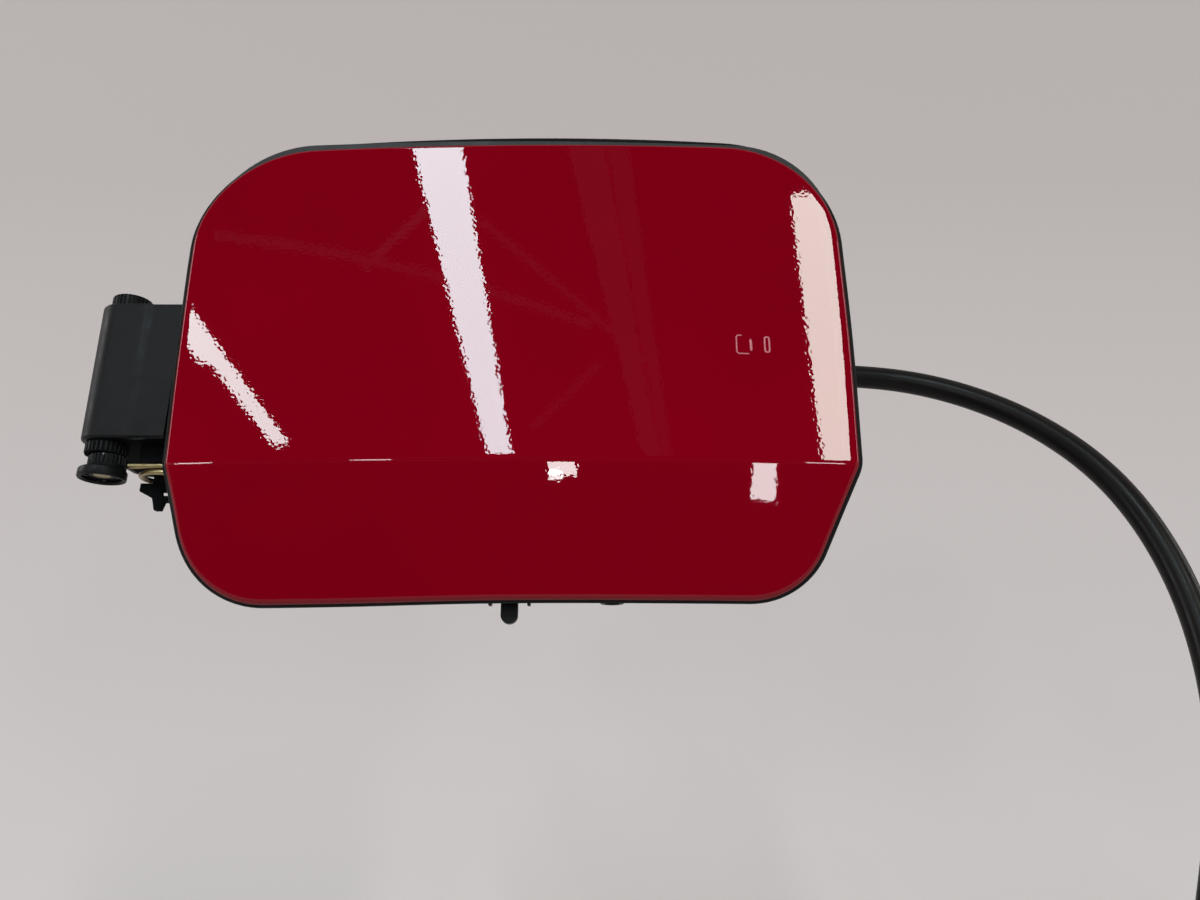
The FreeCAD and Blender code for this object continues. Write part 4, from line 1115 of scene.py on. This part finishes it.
@dataclass
class VentHose:
    """The rubber hose that leaves the bowl's side and hangs down. Its route and length are in metres."""

    route: tuple[tuple[float, float, float], ...] = (
        (0.0910, -0.0100, 0.0141), (0.1180, -0.0100, 0.0141), (0.1460, -0.0170, 0.0067),
        (0.1690, -0.0305, -0.0105), (0.1845, -0.0450, -0.0345), (0.1920, -0.0555, -0.0635),
        (0.1935, -0.0610, -0.0945), (0.1890, -0.0630, -0.1255), (0.1790, -0.0625, -0.1555),
        (0.1695, -0.0610, -0.1865), (0.1630, -0.0590, -0.2175), (0.1595, -0.0570, -0.2485),
        (0.1585, -0.0550, -0.2775),
    )
    radius: float = 4.0
    bore: float = 2.5
    length: float = 0.37
    around: int = 36
    lip_swell: float = 0.35

    def centre_line(self) -> Array:
        """The hose's middle line: a smooth spline that has the route's points as its control points.

        Returns:
            Points along the line, in millimetres.
        """
        curve = bpy.data.curves.new("hose_line", "CURVE")
        curve.dimensions = "3D"
        curve.resolution_u = 24
        spline = curve.splines.new("NURBS")
        spline.points.add(len(self.route) - 1)
        spline.points.foreach_set("co", np.array([(*p, 1.0) for p in self.route]).ravel())
        spline.order_u = 3
        spline.use_endpoint_u = True
        holder = placed("hose_line", curve)
        mesh = bpy.data.meshes.new_from_object(holder)
        line = np.zeros(3 * len(mesh.vertices))
        mesh.vertices.foreach_get("co", line)
        bpy.data.objects.remove(holder)
        bpy.data.curves.remove(curve)
        bpy.data.meshes.remove(mesh)
        return line.reshape(-1, 3) / MM

    def make(self) -> tuple[Object, Array]:
        """The hose: two circles carried along the line, joined by rounded lips at both ends.

        Returns:
            The piece and its middle line.
        """
        line = self.centre_line()
        outer = carried(line, ring(self.radius, self.around), (0.0, 1.0, 0.0))
        inner = carried(line, ring(self.bore, self.around), (0.0, 1.0, 0.0))
        lip = np.linspace(0.0, 1.0, 7)[:, None, None]
        heading = unit(line[-1] - line[-2])
        swell = self.lip_swell * np.sin(math.pi * lip) * heading
        end_lip = outer[-1] * (1.0 - lip) + inner[-1] * lip + swell
        start_lip = inner[0] * (1.0 - lip) + outer[0] * lip
        points = np.concatenate([outer, end_lip[1:-1], inner[::-1], start_lip[1:-1]])
        hose = Patchwork("vent_hose_tube").sheet(points, wrap_rows=True, wrap_columns=True)
        return hose.finish(sharp=60.0), line

    def build(self) -> None:
        piece, line = self.make()
        settle(piece, HOSE_RUBBER, "housing", "hose_rubber", "vent_hose")
        dress("hose_clamp", BRIGHT_ZINC)


def area_lamp(name: str, size: tuple[float, float], radiance: float, tint: str = "#ffffff") -> Object:
    """Make a rectangular lamp that the camera does not see.

    Args:
        name: the lamp's name.
        size: its two sides, in metres.
        radiance: how bright its face is.
        tint: its colour.

    Returns:
        The lamp, shining down from the origin.
    """
    data = bpy.data.lights.new(name, "AREA")
    data.shape = "RECTANGLE"
    data.size, data.size_y = size
    data.energy = radiance * math.pi * size[0] * size[1]
    data.color = linear(tint)[:3]
    lamp = placed(name, data)
    lamp.visible_camera = False
    return lamp


@dataclass(frozen=True)
class StripLamp:
    """A long lamp overhead: two ends on the ceiling, a width, a brightness and a tint."""

    name: str
    start: tuple[float, float]
    end: tuple[float, float]
    width: float
    radiance: float
    tint: str = "#ffffff"
    height: float = 4.73

    def hang(self) -> None:
        """Hang the lamp so that it shines straight down."""
        start, end = np.array(self.start), np.array(self.end)
        length = float(np.linalg.norm(end - start))
        lamp = area_lamp(self.name, (self.width, length), self.radiance, self.tint)
        heading = math.atan2(end[1] - start[1], end[0] - start[0])
        lamp.location = (*(0.5 * (start + end)), self.height)
        lamp.rotation_euler = (0.0, 0.0, heading - QUARTER)


@dataclass(frozen=True)
class PanelLamp:
    """A lamp that faces the point of the object it is aimed at, which is given in millimetres."""

    name: str
    aim: tuple[float, float, float]
    heading: tuple[float, float, float]
    size: tuple[float, float]
    radiance: float
    distance: float = 1.2

    def hang(self) -> None:
        """Put the lamp along its heading from the point, facing back to it."""
        heading = unit(np.array(self.heading))
        lamp = area_lamp(self.name, self.size, self.radiance)
        lamp.location = np.array(self.aim) * MM + self.distance * heading
        lamp.rotation_euler = Vector(heading).to_track_quat("Z", "Y").to_euler()


@dataclass(frozen=True)
class DarkCard:
    """A painted dark reflection, a dark sheet seen in mirrors only: its middle and two half sides, in metres.
    """

    name: str
    middle: tuple[float, float, float]
    across: tuple[float, float, float]
    along: tuple[float, float, float]
    tone: str = "#303133"
    fade: float = 0.02

    def hang(self) -> None:
        """Make the sheet, clear at its edges, and hide it from everything but mirror rays."""
        share = np.linspace(-1.0, 1.0, 25)
        middle, across, along = (np.array(value) for value in (self.middle, self.across, self.along))
        points = middle + share[:, None, None] * across + share[None, :, None] * along
        made = Patchwork(self.name).sheet(points / MM).finish()
        places = np.zeros(3 * len(made.data.vertices))
        made.data.vertices.foreach_get("co", places)
        offset = places.reshape(-1, 3) - middle
        reach = np.abs(np.stack([offset @ side / (side @ side) for side in (across, along)]))
        cover = np.clip((1.0 - reach) / self.fade, 0.0, 1.0).prod(axis=0)
        made.data.attributes.new("cover", "FLOAT", "POINT").data.foreach_set("value", cover)
        paint, tree = blank_material(self.name + "_paint")
        covered = add(tree, "ShaderNodeAttribute", attribute_name="cover").outputs["Fac"]
        see_through(tree, covered, linear(self.tone))
        made.data.materials.append(paint)
        for kind in ("camera", "diffuse", "transmission", "volume_scatter", "shadow"):
            setattr(made, "visible_" + kind, False)


@dataclass
class Studio:
    """Camera, lamps, wall, floor and dark sheets that paint dark reflections."""

    eye: tuple[float, float, float] = (0.0259, -0.3132, -0.1163)
    tilt: float = 18.5
    lens: float = 27.06
    sensor: float = 36.0
    wall: float = 0.55
    floor: float = -0.315
    reach: float = 6.0
    front: float = 2.5
    low_tone: str = "#dad2d0"
    high_tone: str = "#c8bdba"
    tone_span: tuple[float, float] = (-0.25, 0.5)
    soft_tone: str = "#f4f6f8"
    soft_light: float = 0.36
    hung: tuple[StripLamp | PanelLamp | DarkCard, ...] = (
        StripLamp("strip_middle", (-1.64, -4.95), (-1.80, -15.0), 0.6, 35.0, "#e9f8ff"),
        StripLamp("strip_left", (-6.51, -8.1), (-6.99, -13.3), 0.42, 32.0, "#f4feff"),
        StripLamp("strip_left_end", (-6.74, -8.6), (-6.93, -9.65), 0.27, 32.0, "#f4feff"),
        StripLamp("strip_right", (3.234, -6.39), (7.344, -15.15), 0.81, 28.0, "#fefff7"),
        StripLamp("faint_bay", (-0.17, -4.8), (2.18, -15.3), 0.44, 0.14),
        StripLamp("faint_bay_edge", (0.22, -4.8), (2.57, -15.3), 0.27, 0.11),
        StripLamp("long_beam", (-5.1, -6.8), (0.35, -9.6), 0.2, 0.14),
        StripLamp("left_brace", (-3.2, -8.0), (-1.9, -7.0), 0.14, 0.2),
        StripLamp("right_brace", (-1.3, -7.3), (0.7, -9.75), 0.14, 0.12),
        StripLamp("far_brace", (-0.95, -13.3), (0.55, -10.7), 0.2, 0.1),
        PanelLamp("door_gap_high", (14.9, -64.3, -38.5), (-0.006, -0.396, -0.0545), (0.0263, 0.026), 34.0,
                  0.4),
        PanelLamp("door_gap_low", (12.9, -63.5, -42.0), (-0.0107, -0.3948, -0.063), (0.013, 0.009), 34.0,
                  0.4),
        PanelLamp("window_gap", (73.8, -61.2, -41.5), (0.1232, -0.3758, -0.0485), (0.0225, 0.06), 30.0, 0.4),
        PanelLamp("crease_left", (-93.7, -60.6, -36.0), (-0.559, -0.825, 0.083), (0.075, 0.13), 26.0),
        PanelLamp("crease_middle", (-40.4, -64.6, -36.0), (-0.316, -0.945, 0.085), (0.09, 0.13), 26.0),
        PanelLamp("crease_right", (91.9, -61.2, -36.0), (0.399, -0.913, 0.084), (0.085, 0.13), 26.0),
        PanelLamp("side_window", (-104.0, -62.0, 0.0), (-0.94, -0.10, 0.33), (0.5, 1.4), 8.0, 3.0),
        PanelLamp("far_window", (104.0, -62.0, 0.0), (0.94, -0.10, 0.33), (0.4, 1.4), 8.0, 3.0),
        PanelLamp("rear_window", (0.0, 0.0, 0.0), (0.3, 0.85, 0.45), (1.3, 0.9), 7.0, 2.6),
        # Dark sheets that only mirror rays see: painted dark reflections above, far off and below, in the
        # paint and the black plastics
        DarkCard("painted_dark_reflection_above", (0.0, -11.0, 4.76), (16.0, 0.0, 0.0), (0.0, 9.0, 0.0)),
        DarkCard("painted_dark_reflection_far", (0.0, -20.0, 2.2), (16.0, 0.0, 0.0), (0.0, 0.0, 2.6)),
        DarkCard("painted_dark_reflection_below", (-0.03, -0.5, -0.17), (0.7, 0.0, 0.0), (0.0, 0.0, 0.16), fade=0.35),
    )

    def place_camera(self) -> None:
        """Put the camera where the photograph was taken from, level from side to side and tilted up."""
        data = bpy.data.cameras.new("photo_camera")
        data.sensor_width = self.sensor
        data.sensor_fit = "HORIZONTAL"
        data.lens = self.lens
        camera = placed("photo_camera", data)
        camera.location = self.eye
        camera.rotation_euler = (math.radians(90.0 + self.tilt), 0.0, 0.0)
        bpy.context.scene.camera = camera

    def seen(self, tree: NodeTree) -> NodeSocket:
        """One for rays that show the background: from the camera, from gloss and through glass.

        Args:
            tree: the node tree of the paint or of the world.

        Returns:
            The socket that says so.
        """
        ray = add(tree, "ShaderNodeLightPath").outputs
        shown = ray["Is Camera Ray"]
        for kind in ("Is Glossy Ray", "Is Transmission Ray"):
            shown = add(tree, "ShaderNodeMath", {0: shown, 1: ray[kind]}, operation="MAXIMUM").outputs[0]
        return shown

    def one_sided(self, name: str) -> Material:
        """Pale matt paint, lighter below, that shows from its front only, so that rear views are not blocked.

        Args:
            name: the material's name.

        Returns:
            The material.
        """
        made, tree = blank_material(name)
        side = add(tree, "ShaderNodeNewGeometry")
        front = add(tree, "ShaderNodeMath", {0: self.seen(tree), 1: side.outputs["Backfacing"]},
                    operation="SUBTRACT", use_clamp=True)
        spot = add(tree, "ShaderNodeSeparateXYZ", {0: add(tree, "ShaderNodeTexCoord").outputs["Object"]})
        low, high = self.tone_span
        share = add(tree, "ShaderNodeMapRange", {0: spot.outputs[2], 1: low, 2: high})
        tones = {0: share.outputs[0], 6: linear(self.low_tone), 7: linear(self.high_tone)}
        tone = add(tree, "ShaderNodeMix", tones, data_type="RGBA")
        see_through(tree, front.outputs[0], tone.outputs[2])
        return made

    def make_stage(self) -> None:
        """A wall behind the object and a floor below it."""
        far, back, low = self.reach / MM, self.wall / MM, self.floor / MM
        span = np.linspace(-far, far, 3)
        wall_x, wall_z = np.meshgrid(span, np.linspace(low, far, 3))
        floor_x, floor_y = np.meshgrid(span, np.linspace(-self.front / MM, back, 3))
        wall = joined(wall_x, np.full_like(wall_x, back), wall_z)
        floor = joined(floor_x, floor_y, np.full_like(floor_x, low))
        sheets = (("pale_wall", wall, (0.0, -1.0, 0.0)), ("pale_floor", floor, (0.0, 0.0, 1.0)))
        for name, points, facing in sheets:
            made = Patchwork(name).sheet(points).finish()
            if made.data.polygons[0].normal.dot(facing) < 0.0:
                made.data.flip_normals()
            made.data.materials.append(self.one_sided(name + "_paint"))

    def light_world(self) -> None:
        """Even soft light from all round, and the wall's pale tone where the background itself is seen."""
        world = bpy.data.worlds.new("studio")
        world.use_nodes = True
        tree = world.node_tree
        tree.nodes.clear()
        soft_light = {"Color": linear(self.soft_tone), "Strength": self.soft_light}
        soft = add(tree, "ShaderNodeBackground", soft_light).outputs[0]
        behind = add(tree, "ShaderNodeBackground", {"Color": linear(self.low_tone)}).outputs[0]
        mixed = add(tree, "ShaderNodeMixShader", {0: self.seen(tree), 1: soft, 2: behind})
        add(tree, "ShaderNodeOutputWorld", {"Surface": mixed.outputs[0]})
        bpy.context.scene.world = world

    def build(self) -> None:
        """Set up the camera, the stage, the lamps and the dark sheets that paint dark reflections."""
        bpy.context.scene.view_settings.view_transform = "Standard"
        self.place_camera()
        self.light_world()
        self.make_stage()
        for thing in self.hung:
            thing.hang()


def main() -> None:
    """Build the studio and each sub-assembly in order."""
    logging.basicConfig(level=logging.INFO, format="%(name)s: %(message)s")
    for part in (Studio(), VentHose(), Flap(), Hinge(), Bowl(), Lock()):
        part.build()


if __name__ == "__main__":
    main()
